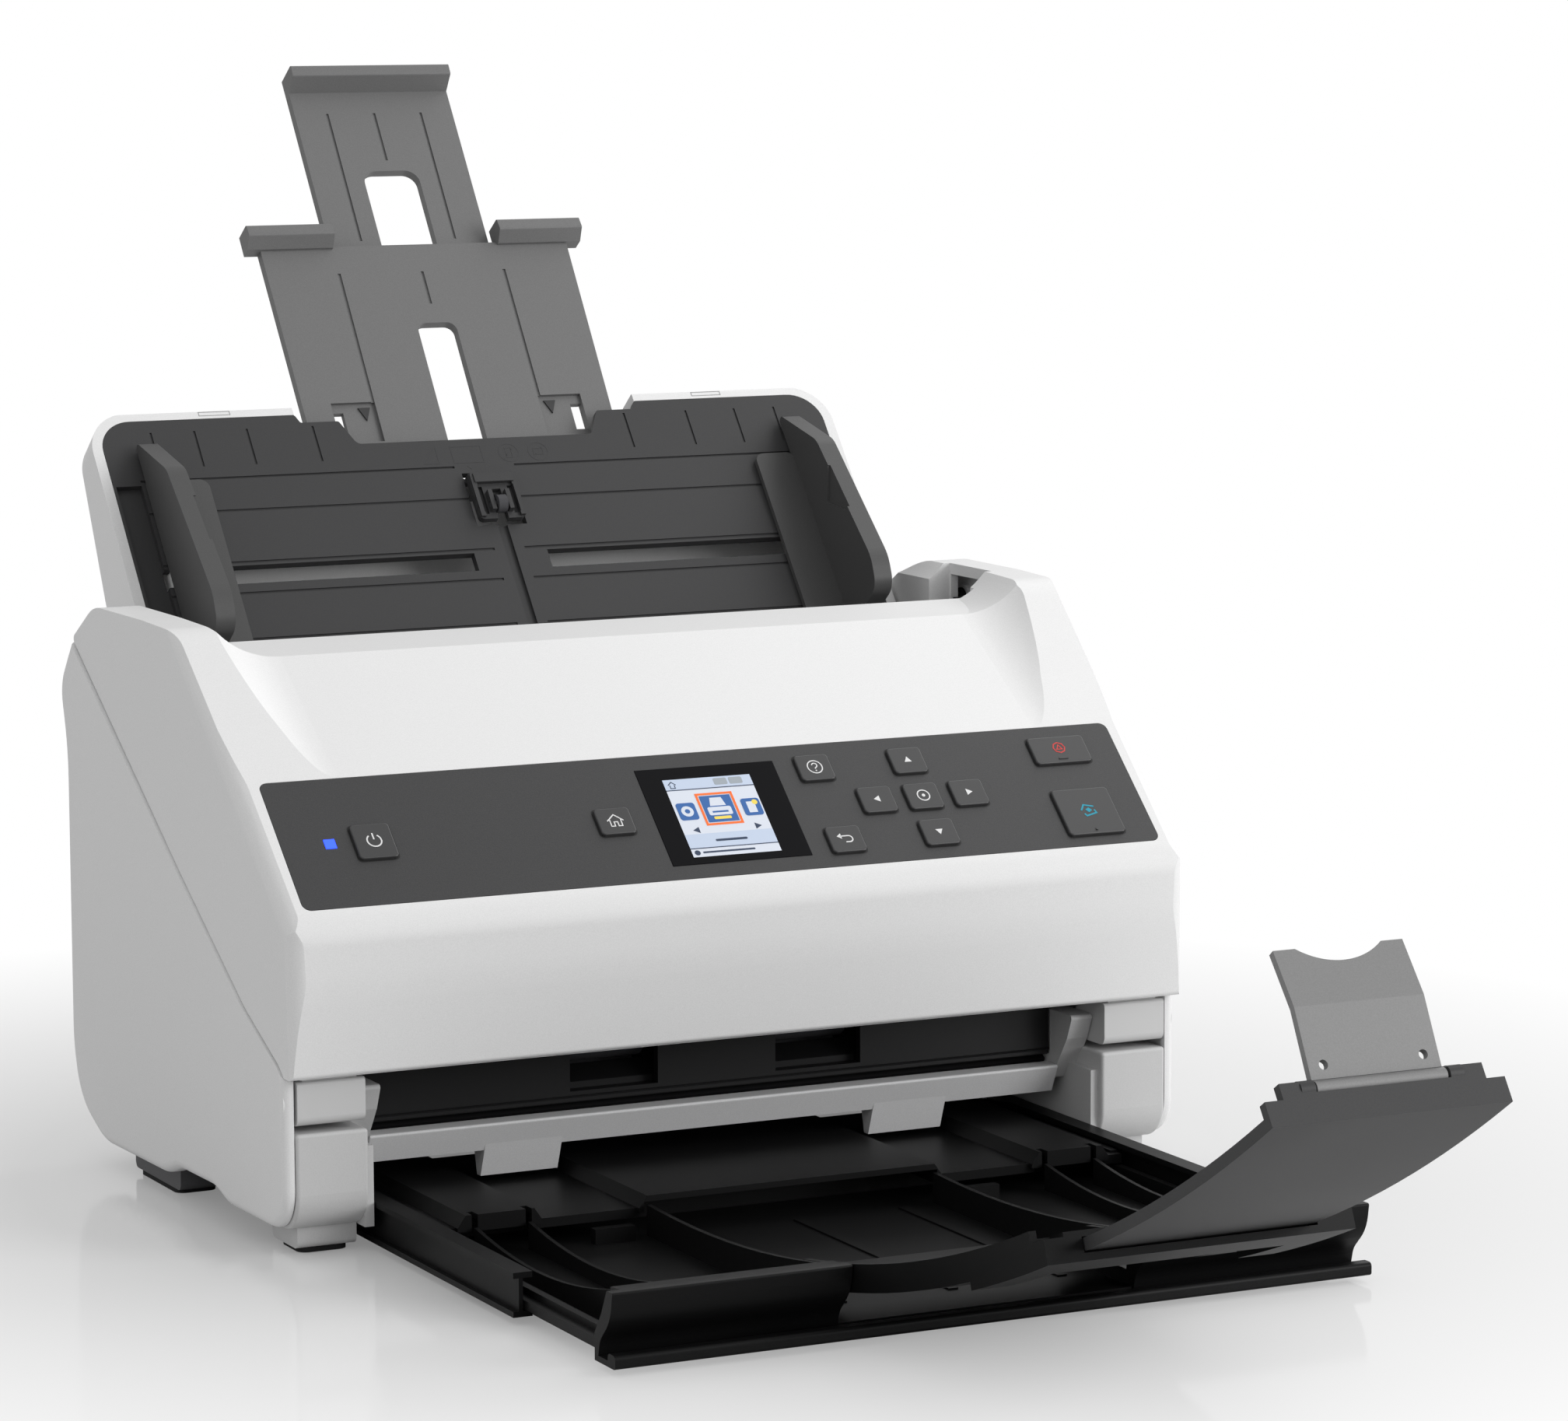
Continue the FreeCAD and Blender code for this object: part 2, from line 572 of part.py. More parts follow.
def front_legs():
    """Two mirrored mouldings: leg, foot, cheek beside the exit, liner along the tray rail."""
    leg = prism([(0, LEG_TOP, 1.0), (0, 7.2, 11), (26, 7.2), (26, LEG_TOP)], LEG_INNER, LEG_OUTER)
    front = [edge for edge in leg.Edges if edge.BoundBox.YMax < 20 and edge.BoundBox.XLength < 0.01
             and edge.BoundBox.ZLength > 1]
    leg = leg.makeFillet(1.0, front)
    cheek = prism([(6.4, 45.8, 1), (9.6, 38.5), (19.0, 25.0, 2), (34, 25.0), (34, 45.8)],
                  CHEEK_INNER, LEG_INNER + 0.5)
    foot = prism([(8, 1.6, 2), (8, 8), (27, 8), (27, 1.6, 2)], 116.5, 134.0)
    liner = box(RAIL_OUTER + GAP, LEG_INNER + 0.5, 2.5, 34, 7.2, 30)
    skirt = box(RAIL_OUTER + GAP, SIDE_PLATE[0] - 0.1, 33, 100, 7.2, FLOOR_UNDERSIDE - 0.1)
    shape = fuse([leg, cheek, foot, liner, skirt])
    return Part.makeCompound([shape, mirrored(shape)])


def rubber_feet():
    pads = []
    for x0, x1, y0, y1 in ((118.0, 132.5, 10, 25), (124.0, 136.5, 96, 128)):
        pad = rounded_box(x0, x1, y0, y1, 0, 1.6, 3)
        pads.append(pad)
        pads.append(mirrored(pad))
    return Part.makeCompound(pads)


def rear_line():
    return [(155.0, 16.8), (160.0, 25.0), (163.4, 35.0), (163.4, 121.0)]


def rear_cover():
    edge = LEG_OUTER
    back = prism(strip(rear_line(), SKIN), -edge, edge)
    ear_line = [(163.4, 118.0), (169.0, 141.0), (159.5, 154.0)]
    ear = prism(strip(ear_line, SKIN), TRAY_HALF_WIDTH + 0.6, edge)
    shape = fuse([back, ear, mirrored(ear)])
    ports = box(-62.0, -12.0, 150, 170, 48, 62)
    vents = [box(x, x + 3, 150, 170, 84, 108) for x in range(30, 100, 7)]
    return cut(shape, [ports] + vents)


def exit_bar():
    """Bar below the exit opening, with two tabs that hold the output tray down."""
    bar = prism([(14.6, 29.8, 0.6), (18.6, 21.5), (26, 21.5), (26, 25.5), (22.2, 28.2), (21.3, 29.9)],
                -CHEEK_INNER + 0.1, CHEEK_INNER - 0.1)
    tab = prism([(17.6, 23.6), (21.4, 13.6), (24.0, 13.6), (26, 21.6)], 49.6, 73.3)
    return fuse([bar, tab, mirrored(tab)])


def roller_windows():
    """Openings in the lower guide for the driven rollers."""
    clearance = 1.0
    tools = [rod(PICKUP_RADIUS + clearance, -18, 18, PICKUP_CENTRE)]
    for x0, x1 in ((19.0, 46.0), (-46.0, -19.0)):
        tools.append(rod(FEED_RADIUS + clearance, x0, x1, FEED_CENTRE))
        tools.append(rod(EXIT_RADIUS + clearance, x0, x1, EXIT_CENTRE))
    return tools


def rear_paper_guide():
    path = [steep(TRAY_FOOT - 0.4, 0), BEND, EXIT]
    guide = prism(strip(path, GUIDE_SHEET), -PATH_HALF_WIDTH, PATH_HALF_WIDTH)
    return cut(guide, roller_windows() + [glass_room(-20, 1, 0.1)])


def rear_scan_glass():
    return glass_room(-1.8, 0.0, 0.0)


def rear_image_sensor():
    return image_sensor(-1)


def base_frame():
    """Floor and rear wall of the tray room, two bearing plates, and the shelves beside them."""
    floor = box(-SIDE_PLATE[1], SIDE_PLATE[1], 36, 155, FLOOR_UNDERSIDE, FLOOR_UNDERSIDE + 2.4)
    front = 35.5
    behind_path = beside([steep(TRAY_FOOT - 0.5, 0), BEND, shallow(16.6, 0)], 1.0)
    corners = behind_path + [(front, behind_path[-1][1]), (front, 4.0), (149.5, 12.0), (157.0, 27.0),
                             (160.4, 38.0), (160.4, 118.0), (156.0, 128.0)]
    cheek = prism(corners, SIDE_PLATE[0], SIDE_PLATE[1])
    bores = [rod(4.55, 110, 120, centre) for centre in (PICKUP_CENTRE, FEED_CENTRE, EXIT_CENTRE)]
    bores.append(rod(3.2, 110, 120, MOTOR_CENTRE))
    cheek = cut(cheek, bores)
    shelf = box(SIDE_PLATE[0], LEG_OUTER - 0.2, 40, 140, 16.6, 19.0)
    foot = prism([(92, 1.6, 2), (92, 9), (130, 9), (130, 1.6, 2)], 122.5, LEG_OUTER)
    web = box(SIDE_PLATE[1] - 0.5, LEG_OUTER - 0.2, 94, 128, 8.0, 17.0)
    screws = [rod(3.5, SIDE_PLATE[1] - 0.5, LEG_OUTER + 0.3, centre) for centre in SCREW_CENTRES]
    side = fuse([cheek, shelf, foot, web] + screws)
    beam = box(-SIDE_PLATE[1], SIDE_PLATE[1], 156.0, 160.0, 66, 78)
    rear_wall = box(-SIDE_PLATE[1], SIDE_PLATE[1], 150.0, 152.5, 4.0, FLOOR_UNDERSIDE + 0.5)
    frame = fuse([floor, side, mirrored(side), beam, rear_wall])
    screw_bores = []
    for centre in SCREW_CENTRES:
        screw_bores.append(rod(1.3, SIDE_PLATE[1] + 2, HALF_WIDTH, centre))
        screw_bores.append(rod(1.3, -HALF_WIDTH, -SIDE_PLATE[1] - 2, centre))
    return cut(frame, screw_bores)


def case_screws():
    """Self-tapping screws that hold the side panels to the frame."""
    screws = []
    for centre in SCREW_CENTRES:
        screw = rod(1.25, SIDE_PLATE[1] + 4, LEG_OUTER + 0.2, centre)
        screws.append(screw)
        screws.append(mirrored(screw))
    return Part.makeCompound(screws)


def shaft_bearings():
    """Flanged bushes that carry the three driven shafts in the bearing plates."""
    bushes = []
    for centre in (PICKUP_CENTRE, FEED_CENTRE, EXIT_CENTRE):
        bush = rod(4.5, SIDE_PLATE[0], SIDE_PLATE[1], centre)
        flange = rod(6.0, SIDE_PLATE[0] - 1.2, SIDE_PLATE[0], centre)
        bush = bush.fuse(flange).cut(rod(BORE_RADIUS, 100, 130, centre)).removeSplitter()
        bushes.append(bush)
        bushes.append(mirrored(bush))
    return Part.makeCompound(bushes)


def main_board():
    """Circuit board on the frame floor, with its larger components."""
    board = box(-100, 60, 110, 154, 31, 32.6)
    chips = [box(-84, -70, 122, 136, 32.6, 34.4), box(-40, -22, 118, 136, 32.6, 35.0),
             box(6, 18, 118, 142, 32.6, 38.0), box(30, 48, 124, 134, 32.6, 36.0)]
    posts = [Part.makeCylinder(2.5, 31 - FLOOR_UNDERSIDE - 2.4, Vector(x, y, FLOOR_UNDERSIDE + 2.4))
             for x in (-95, 55) for y in (114, 150)]
    return fuse([board] + chips + posts)


def rear_connectors():
    """Power inlet and USB socket behind the opening in the rear cover."""
    power = box(-58, -46, 148, 163.0, 49.5, 60.5).cut(
        Part.makeCylinder(3.2, 12, Vector(-52, 153, 55), Vector(0, 1, 0)))
    usb = box(-34, -22, 148, 163.0, 49.5, 60.5).cut(box(-32, -24, 153, 170, 51, 59))
    stands = [box(x, x + 6, 150, 153, 32.6, 50) for x in (-55, -31)]
    sockets = [socket.fuse(stand).removeSplitter() for socket, stand in zip((power, usb), stands)]
    return Part.makeCompound(sockets)


# ---------------------------------------------------------------- drive
def gear_outline(centre, module, teeth, tooth_degrees, below, above):
    """Slim straight-flanked teeth; below and above are in modules from the pitch circle."""
    pitch = module * teeth / 2
    root, tip = pitch - below * module, pitch + above * module
    step = 360.0 / teeth
    corners = []
    for i in range(teeth):
        middle = tooth_degrees + i * step
        for radius, share in ((root, -0.25), (tip, -0.10), (tip, 0.10), (root, 0.25)):
            angle = math.radians(middle + share * step)
            corners.append((centre[0] + radius * math.cos(angle), centre[1] + radius * math.sin(angle)))
    return corners


def spur_gear(teeth, x0, x1, centre, tooth_degrees):
    """Spur gear across the machine; one tooth points at tooth_degrees."""
    return prism(gear_outline(centre, GEAR_MODULE, teeth, tooth_degrees, 1.1, 0.8), x0, x1)


def mating_tooth(teeth, tooth_degrees, other_teeth, direction):
    """Where the second gear's tooth must point for the pair to mesh along a direction."""
    share = ((direction - tooth_degrees) * teeth / 360.0) % 1.0
    return direction + 180.0 - (0.5 - share) * 360.0 / other_teeth


def feed_gear():
    """Driven gear with the two belt pulleys moulded on, on the left end of the feed shaft."""
    gear = spur_gear(FEED_TEETH, -124, -119, FEED_CENTRE, 0.0)
    hub = rod(11.0, -125.2, -123.5, FEED_CENTRE)
    pulleys = [rod(9.0, -136.0, -124.0, FEED_CENTRE), rod(11.0, -131.2, -130.2, FEED_CENTRE)]
    return cut(fuse([gear, hub] + pulleys), [rod(SHAFT_RADIUS, -140, -110, FEED_CENTRE)])


def motor_pinion():
    tooth = mating_tooth(FEED_TEETH, 0.0, PINION_TEETH, MOTOR_DIRECTION)
    gear = spur_gear(PINION_TEETH, -124, -119, MOTOR_CENTRE, tooth)
    return gear.fuse(rod(1.5, -124, -112.5, MOTOR_CENTRE)).removeSplitter()


def feed_motor():
    body = rod(15, -113.6, -86, MOTOR_CENTRE)
    cap = rod(6, -86, -83, MOTOR_CENTRE)
    return cut(fuse([body, cap]), [rod(1.56, -114, -108, MOTOR_CENTRE)])


def pulley(centre, radius, x0, x1):
    shapes = [rod(radius, x0, x1, centre), rod(radius + 1.6, x0, x0 + 0.8, centre)]
    return cut(fuse(shapes), [rod(SHAFT_RADIUS, x0 - 1, x1 + 1, centre)])


def pickup_pulley():
    return pulley(PICKUP_CENTRE, 9.0, -136.6, -131.4)


def exit_pulley():
    return pulley(EXIT_CENTRE, 7.2, -130.8, -125.4)


def belt_loop(first, first_radius, second, second_radius, x0, x1):
    """Loop of belt outline round two pulleys of the given radii."""
    run, rise = second[0] - first[0], second[1] - first[1]
    distance = math.hypot(run, rise)
    heading = math.atan2(rise, run)
    lean = math.acos((first_radius - second_radius) / distance)

    def at(centre, radius, angle):
        return Vector(x0, centre[0] + radius * math.cos(angle), centre[1] + radius * math.sin(angle))
    upper, lower = heading + lean, heading - lean
    wire = Part.Wire([
        Part.Arc(at(first, first_radius, upper), at(first, first_radius, heading + math.pi),
                 at(first, first_radius, lower)).toShape(),
        Part.makeLine(at(first, first_radius, lower), at(second, second_radius, lower)),
        Part.Arc(at(second, second_radius, lower), at(second, second_radius, heading),
                 at(second, second_radius, upper)).toShape(),
        Part.makeLine(at(second, second_radius, upper), at(first, first_radius, upper)),
    ])
    return Part.Face(wire).extrude(Vector(x1 - x0, 0, 0))


def belt(first, first_radius, second, second_radius, x0, x1):
    slack, thickness = 0.08, 1.0
    outer = belt_loop(first, first_radius + slack + thickness, second,
                      second_radius + slack + thickness, x0, x1)
    inner = belt_loop(first, first_radius + slack, second, second_radius + slack, x0, x1)
    return outer.cut(inner)


def drive_belts():
    to_exit = belt(FEED_CENTRE, 9.0, EXIT_CENTRE, 7.2, -129.8, -125.5)
    to_pickup = belt(FEED_CENTRE, 9.0, PICKUP_CENTRE, 9.0, -135.6, -131.5)
    return Part.makeCompound([to_exit, to_pickup])


def driven_roller(centre, radius, tyres, left_end):
    shaft = roller(centre, radius, SHAFT_RADIUS, 118.5, tyres)
    return shaft.fuse(rod(SHAFT_RADIUS, left_end, -118, centre)).removeSplitter()


def pickup_roller():
    return driven_roller(PICKUP_CENTRE, PICKUP_RADIUS, [(-17, 17)], -137)


def feed_roller():
    return driven_roller(FEED_CENTRE, FEED_RADIUS, [(19.5, 45.5)], -137)


def exit_roller():
    return driven_roller(EXIT_CENTRE, EXIT_RADIUS, [(19.5, 45.5)], -132)


# ---------------------------------------------------------------- input tray
def rim_plan(half, top, radius, notch):
    """Plan of the tray drawn flat, with its rounded upper corners and the centre notch."""
    return [(-half, TRAY_FOOT), (half, TRAY_FOOT), (half, top, radius), (notch, top, 1.5),
            (notch - 8, top - 6.5, 2.5), (-notch + 8, top - 6.5, 2.5), (-notch, top, 1.5),
            (-half, top, radius)]


def tray_shell():
    """Outer shell of the tray: white rim, side walls and back, open inside for the slides."""
    back = [(TRAY_FOOT, 0.0), (TRAY_TOP, 0.0, 0.8), (TRAY_TOP, -10.6, 4), (73, -12.6, 30),
            (32, -21.5, 30), (10, -23.0, 8), (TRAY_FOOT, -22.0)]
    body = prism(back, -TRAY_HALF_WIDTH, TRAY_HALF_WIDTH)
    body = body.common(plate(rim_plan(TRAY_HALF_WIDTH, TRAY_TOP, 13.5, 57.5), -40, 5))
    bed = plate(rim_plan(BED_HALF_WIDTH + 0.1, TRAY_TOP - 2.9, 10.5, 57.5), -9.0, 5)
    bed = bed.common(box(-200, 200, TRAY_FOOT - 1, TRAY_TOP, -BED_THICKNESS - 0.1, 5))
    room = prism([(TRAY_FOOT - 1, -BED_THICKNESS), (TRAY_TOP - 6, -BED_THICKNESS),
                  (TRAY_TOP - 6, -8.8), (72, -10.4), (31, -19.2), (10, -20.7), (TRAY_FOOT - 1, -19.8)],
                 -BED_HALF_WIDTH + 1, BED_HALF_WIDTH - 1)
    body = on_tray(cut(body, [bed, room]))
    slide = on_extension(box(-LOWER_HALF_WIDTH - 0.6, LOWER_HALF_WIDTH + 0.6, -110, 60, -8.4, 0.5))
    open_top = on_tray(box(-57.4, 57.4, TRAY_TOP - 10, 120, -8.6, 6))
    return cut(body, [slide, open_top])


def size_marks():
    """Grooves at the paper widths, centre to edge, near the top of the tray."""
    marks = []
    for half_width in (52.5, 74.0, 91.0, 105.0):
        for side in (-1, 1):
            x = side * half_width
            marks.append(box(x - 0.35, x + 0.35, 66.5, 79.5, -0.4, 1))
    return marks


def tray_bed():
    """Dark paper surface: slots for the guides, folds across it, and a pocket for the support."""
    top, step_top, notch_bottom = TRAY_TOP - 3.0, 80.9, 72.2
    half_notch = [(57.3, top, 1.0), (56.0, step_top, 0.8), (43.5, step_top, 1.0), (39.5, notch_bottom, 2.5)]
    other_half = [(-corner[0],) + corner[1:] for corner in reversed(half_notch)]
    half = BED_HALF_WIDTH
    plan = ([(-half, TRAY_FOOT), (half, TRAY_FOOT), (half, top, 10.4)] + half_notch + other_half
            + [(-half, top, 10.4)])
    body = plate(plan, -BED_THICKNESS, 0)
    tools = size_marks()
    for side in (-1, 1):
        low, high = sorted((side * 12.2, side * 112.5))
        tools.append(box(low, high, SLOT_CENTRE - SLOT_HALF, SLOT_CENTRE + SLOT_HALF, -4, 1))
        low, high = sorted((side * 112.3, side * 120.4))
        tools.append(box(low, high, TRAY_FOOT - 1, 60.5, -2.0, 1))
        low, high = sorted((side * 10.0, side * 112.3))
        tools.append(box(low, high, 61.6, 62.4, -0.5, 1))
        for fold in (50.6, 32.0, 21.0, 4.8):
            low, high = sorted((side * 5.0, side * 112.3))
            tools.append(box(low, high, fold - 0.9, fold, -0.45, 1))
    tools.append(box(-1.6, 1.6, TRAY_FOOT - 1, 42, -1.0, 1))
    tools.append(box(-8.3, 8.3, 40.2, 59.6, -4, 1))
    tools.append(Part.makeCylinder(1.7, 3.5, Vector(0, SLOT_CENTRE, -5), Vector(0, 0, 1)))
    tools.append(rod(SUPPORT_PIN_RADIUS + 0.05, -10.8, 10.8, SUPPORT_PIN))
    body = on_tray(cut(body, tools))
    slide = on_extension(box(-LOWER_HALF_WIDTH - 0.5, LOWER_HALF_WIDTH + 0.5, -110, 60, -8.4, 0.4))
    return cut(body, [slide])


def rack_bar(x0, x1, pitch_line, toward):
    """Toothed bar behind the tray bed; toward is the side its teeth face, +1 up or -1 down."""
    step = math.pi * RACK_MODULE
    back = pitch_line - toward * 3.4
    root = pitch_line - toward * 0.95 * RACK_MODULE
    tip = pitch_line + toward * 0.75 * RACK_MODULE
    first = math.ceil(x0 / step)
    last = math.floor(x1 / step)
    corners = [(x0, back), (x0, root)]
    for i in range(first + 1, last):
        middle = i * step
        for share, level in ((-0.24, root), (-0.11, tip), (0.11, tip), (0.24, root)):
            corners.append((middle + share * step, level))
    corners += [(x1, root), (x1, back)]
    return plate(corners, -6.6, -3.4)


def edge_guide(side):
    """Upright plate, foot on the paper surface, and the arm through the slot to its rack."""
    inner, outer = sorted((side * GUIDE_INNER, side * GUIDE_OUTER))
    upright = prism([(-5.2, 0.9), (-5.2, 24.0, 6), (4.5, 27.0, 14), (54.0, 18.6, 9), (74.2, 2.6, 1.5),
                     (73.0, 0.9)], inner, outer)
    foot_inner, foot_outer = sorted((side * 91.8, side * (GUIDE_INNER + 0.5)))
    foot = rounded_box(foot_inner, foot_outer, -5.2, 60.5, 0.5, 2.2, 3.0)
    sole_inner, sole_outer = sorted((side * (GUIDE_INNER - 6), side * GUIDE_OUTER))
    sole = box(sole_inner, sole_outer, -5.2, 60.5, 0.5, 1.5)
    arm_inner, arm_outer = sorted((side * 102.0, side * 110.5))
    arm = box(arm_inner, arm_outer, SLOT_CENTRE - SLOT_HALF + 0.3, SLOT_CENTRE + SLOT_HALF - 0.3,
              -6.6, 1.0)
    pitch_line = SLOT_CENTRE - side * RACK_PITCH_RADIUS
    rack_ends = sorted((side * 110.5, -side * 6.0))
    rack = rack_bar(rack_ends[0], rack_ends[1], pitch_line, side)
    link_low, link_high = sorted((SLOT_CENTRE, pitch_line - side * 3.4))
    link = box(arm_inner, arm_outer, link_low, link_high, -6.6, -3.4)
    shape = fuse([upright, foot, sole, arm, link, rack])
    grip_inner, grip_outer = sorted((side * (GUIDE_INNER - 1), side * (GUIDE_INNER + 0.8)))
    finger_grip = prism([(43.0, 40), (43.0, 20.0), (34.0, 12.5, 1.0), (25.5, 21.5), (25.5, 40)],
                        grip_inner, grip_outer)
    return on_tray(shape.cut(finger_grip))


def left_edge_guide():
    return edge_guide(-1)


def right_edge_guide():
    return edge_guide(1)


def guide_pinion():
    """Pinion between the two racks, so that the guides close in together."""
    first_tooth = 90.0 + 180.0 / GUIDE_PINION_TEETH
    outline = gear_outline((0, SLOT_CENTRE), RACK_MODULE, GUIDE_PINION_TEETH, first_tooth, 0.95, 0.75)
    gear = plate(outline, -6.4, -3.6)
    axle = Part.makeCylinder(1.65, 4.7, Vector(0, SLOT_CENTRE, -6.4), Vector(0, 0, 1))
    return on_tray(gear.fuse(axle).removeSplitter())


def paper_support():
    """Small framed flap over the top of the centre groove, hinged at its upper end."""
    frame = rounded_box(-7.6, 7.6, 41.2, 58.2, 0.2, 2.2, 1.5)
    rims = [box(x, x + 1.6, 41.8, 57.4, 0.4, 3.2) for x in (-7.4, 5.8)]
    cheeks = [box(x, x + 1.4, 43.4, 50.6, 0.4, 4.4) for x in (-3.6, 2.2)]
    head = box(-6.4, 6.4, 54.0, 57.2, 0.4, 3.6)
    pin = rod(SUPPORT_PIN_RADIUS, -10.5, 10.5, SUPPORT_PIN)
    ears = [prism([(56.0, -2.0), (58.0, -2.0), (58.0, 2), (56.0, 2)], x, x + 1.6) for x in (-7.4, 5.8)]
    shape = fuse([frame] + rims + cheeks + [head] + ears + [pin])
    room = [box(-1.8, 1.8, 40, 52, -1, 9), rod(0.86, -5.0, 5.0, SUPPORT_WHEEL),
            box(-6.0, -4.2, 43.0, 53.0, 1.2, 9), box(4.2, 6.0, 43.0, 53.0, 1.2, 9)]
    return on_tray(cut(shape, room))


def support_roller():
    wheel = rod(2.8, -1.5, 1.5, SUPPORT_WHEEL)
    axle = rod(0.8, -3.4, 3.4, SUPPORT_WHEEL)
    return on_tray(wheel.fuse(axle).removeSplitter())


# ---------------------------------------------------------------- tray extensions
def lower_tray_extension():
    half = LOWER_HALF_WIDTH
    body = plate([(-half + 1, -30), (half - 1, -30), (half, 62), (-half, 62)], -3.2, 0)
    wings = []
    for side in (-1, 1):
        low, high = sorted((side * 28.2, side * 56.8))
        bar = prism([(61.0, -3.2), (61.0, 1.0), (64.0, 5.0, 0.8), (68.0, 4.4, 0.8), (68.0, -3.2)],
                    low, high)
        wings.append(bar)
        low, high = sorted((side * 27.8, side * 31.0))
        wings.append(box(low, high, -30, 62, -7.8, -3.0))
        low, high = sorted((side * 25.0, side * 31.0))
        wings.append(box(low, high, -20, 55, -8.2, -7.4))
    body = fuse([body] + wings)
    tools = [rounded_box(-6.6, 6.6, -24, 33, -4, 1, 3.2)]
    for x in (-28.1, 0, 28.1):
        low = 5 if x else 40
        tools.append(box(x - 0.5, x + 0.5, low, 52, -0.5, 1))
    for side in (-1, 1):
        low, high = sorted((side * 27.6, side * 42.2))
        tools.append(box(low, high, -9, 5.2, -1.2, 1))
        low, high = sorted((side * 38.4, side * 42.2))
        tools.append(box(low, high, -7, 2.2, -4, 1))
    return on_extension(cut(body, tools))


def upper_tray_extension():
    half = UPPER_HALF_WIDTH
    body = plate([(-half, 44), (half, 44), (half, 123), (-half, 123)], UPPER_UNDERSIDE, -3.6)
    lip = prism([(122.0, UPPER_UNDERSIDE), (122.0, -3.6), (124.6, 2.8, 0.8), (UPPER_END, 3.0, 0.8),
                 (UPPER_END, UPPER_UNDERSIDE)], -half, half)
    tools = [rounded_box(-9.5, 9.5, 52, 92, -8, 1, 4.6)]
    for x in (-16.1, 0, 16.1):
        low = 66 if x else 96
        tools.append(box(x - 0.45, x + 0.45, low, 114, -4.1, 1))
    return on_extension(cut(fuse([body, lip]), tools))


# ---------------------------------------------------------------- output tray
def tray_frame():
    """Two rails, channelled on both sides, and a cross plate; first stage of the output tray."""
    web_outer, web_inner = RAIL_WEB
    channel = [(RAIL_OUTER, 2.0), (RAIL_OUTER, 3.6), (web_outer, 3.6), (web_outer, 12.4),
               (RAIL_OUTER, 12.4), (RAIL_OUTER, 14.0), (RAIL_INNER, 14.0), (RAIL_INNER, 12.4),
               (web_inner, 12.4), (web_inner, 3.6), (RAIL_INNER, 3.6), (RAIL_INNER, 2.0)]
    wire = rounded_wire(channel, lambda a, b: Vector(a, RAIL_FRONT, b))
    rail = Part.Face(wire).extrude(Vector(0, RAIL_REAR - RAIL_FRONT, 0))
    cross = box(-RAIL_OUTER + 1, RAIL_OUTER - 1, RAIL_REAR - 14, RAIL_REAR, 2.0, 3.6)
    end = box(-RAIL_OUTER + 1, RAIL_OUTER - 1, RAIL_REAR - 2, RAIL_REAR, 2.0, 8.4)
    return fuse([rail, mirrored(rail), cross, end])


def tray_top_plate():
    """Top of the first stage: raised lands for the paper, with the tabs' channels between."""
    lands = [(-101.7, -76.5), (-47.3, 47.3), (76.5, 101.7)]
    plan_rear = RAIL_REAR
    sheet = box(-106.8, 106.8, PLATE_FRONT + 1.5, plan_rear, 8.9, 11.5)
    shapes = [sheet]
    for x0, x1 in lands:
        shapes.append(box(x0, x1, PLATE_FRONT, plan_rear, 10.4, 15.0))
    for side in (-1, 1):
        low, high = sorted((side * 104.5, side * 106.8))
        shapes.append(box(low, high, PLATE_FRONT + 4, plan_rear, 8.9, 12.2))
        low, high = sorted((side * 104.0, side * 106.8))
        shapes.append(box(low, high, 30, plan_rear, 8.5, 9.5))
        low, high = sorted((side * 106.0, side * (RAIL_WEB[1] - 0.1)))
        shapes.append(box(low, high, 36, plan_rear - 2.1, 8.9, 12.3))
    body = fuse(shapes)
    tools = []
    for x0, x1 in lands:
        front = PLATE_FRONT - 1 if x0 * x1 < 0 else PLATE_FRONT + 1.5
        tools.append(box(x0 + 1.5, x1 - 1.5, front, plan_rear - 3, 8.0, 13.3))
        for x, turn in ((x0, 1), (x1, -1)):
            wedge = [(x, 15.01), (x + turn * 2.4, 15.01), (x, 11.6)]
            wire = rounded_wire(wedge, lambda a, b: Vector(a, PLATE_FRONT - 1, b))
            tools.append(Part.Face(wire).extrude(Vector(0, plan_rear - PLATE_FRONT + 2, 0)))
    for x in (80.6, 96.6):
        for side in (-1, 1):
            tools.append(box(side * x - 0.9, side * x + 0.9, PLATE_FRONT - 1, PLATE_FRONT + 4, 8, 16))
    return cut(body, tools)


def side_rib(x0, x1, front_height):
    """Rib whose top sags in the middle and rises to the flange."""
    start, end = (-29.6, 11.6), (FLANGE_REAR + 1, front_height)
    middle = (-78.0, 8.3)
    rib = Part.Wire([
        Part.Arc(Vector(x0, *start), Vector(x0, *middle), Vector(x0, *end)).toShape(),
        Part.makeLine(Vector(x0, *end), Vector(x0, end[0], 2.2)),
        Part.makeLine(Vector(x0, end[0], 2.2), Vector(x0, start[0], 2.2)),
        Part.makeLine(Vector(x0, start[0], 2.2), Vector(x0, *start)),
    ])
    return Part.Face(rib).extrude(Vector(x1 - x0, 0, 0))


def flange_outline():
    """Quarter-round front, thin upright lip at the table, and an open back."""
    return [(FLANGE_FRONT, 21.3, 0.6), (FLANGE_FRONT + 1.2, 14.0, 12), (FLANGE_REAR - 3.2, 7.5, 6),
            (FLANGE_REAR - 1.8, 1.8), (FLANGE_REAR, 1.8), (FLANGE_REAR, 9.0),
            (FLANGE_REAR - 4.0, 14.5, 8), (FLANGE_FRONT + 3.4, 21.3, 0.6)]


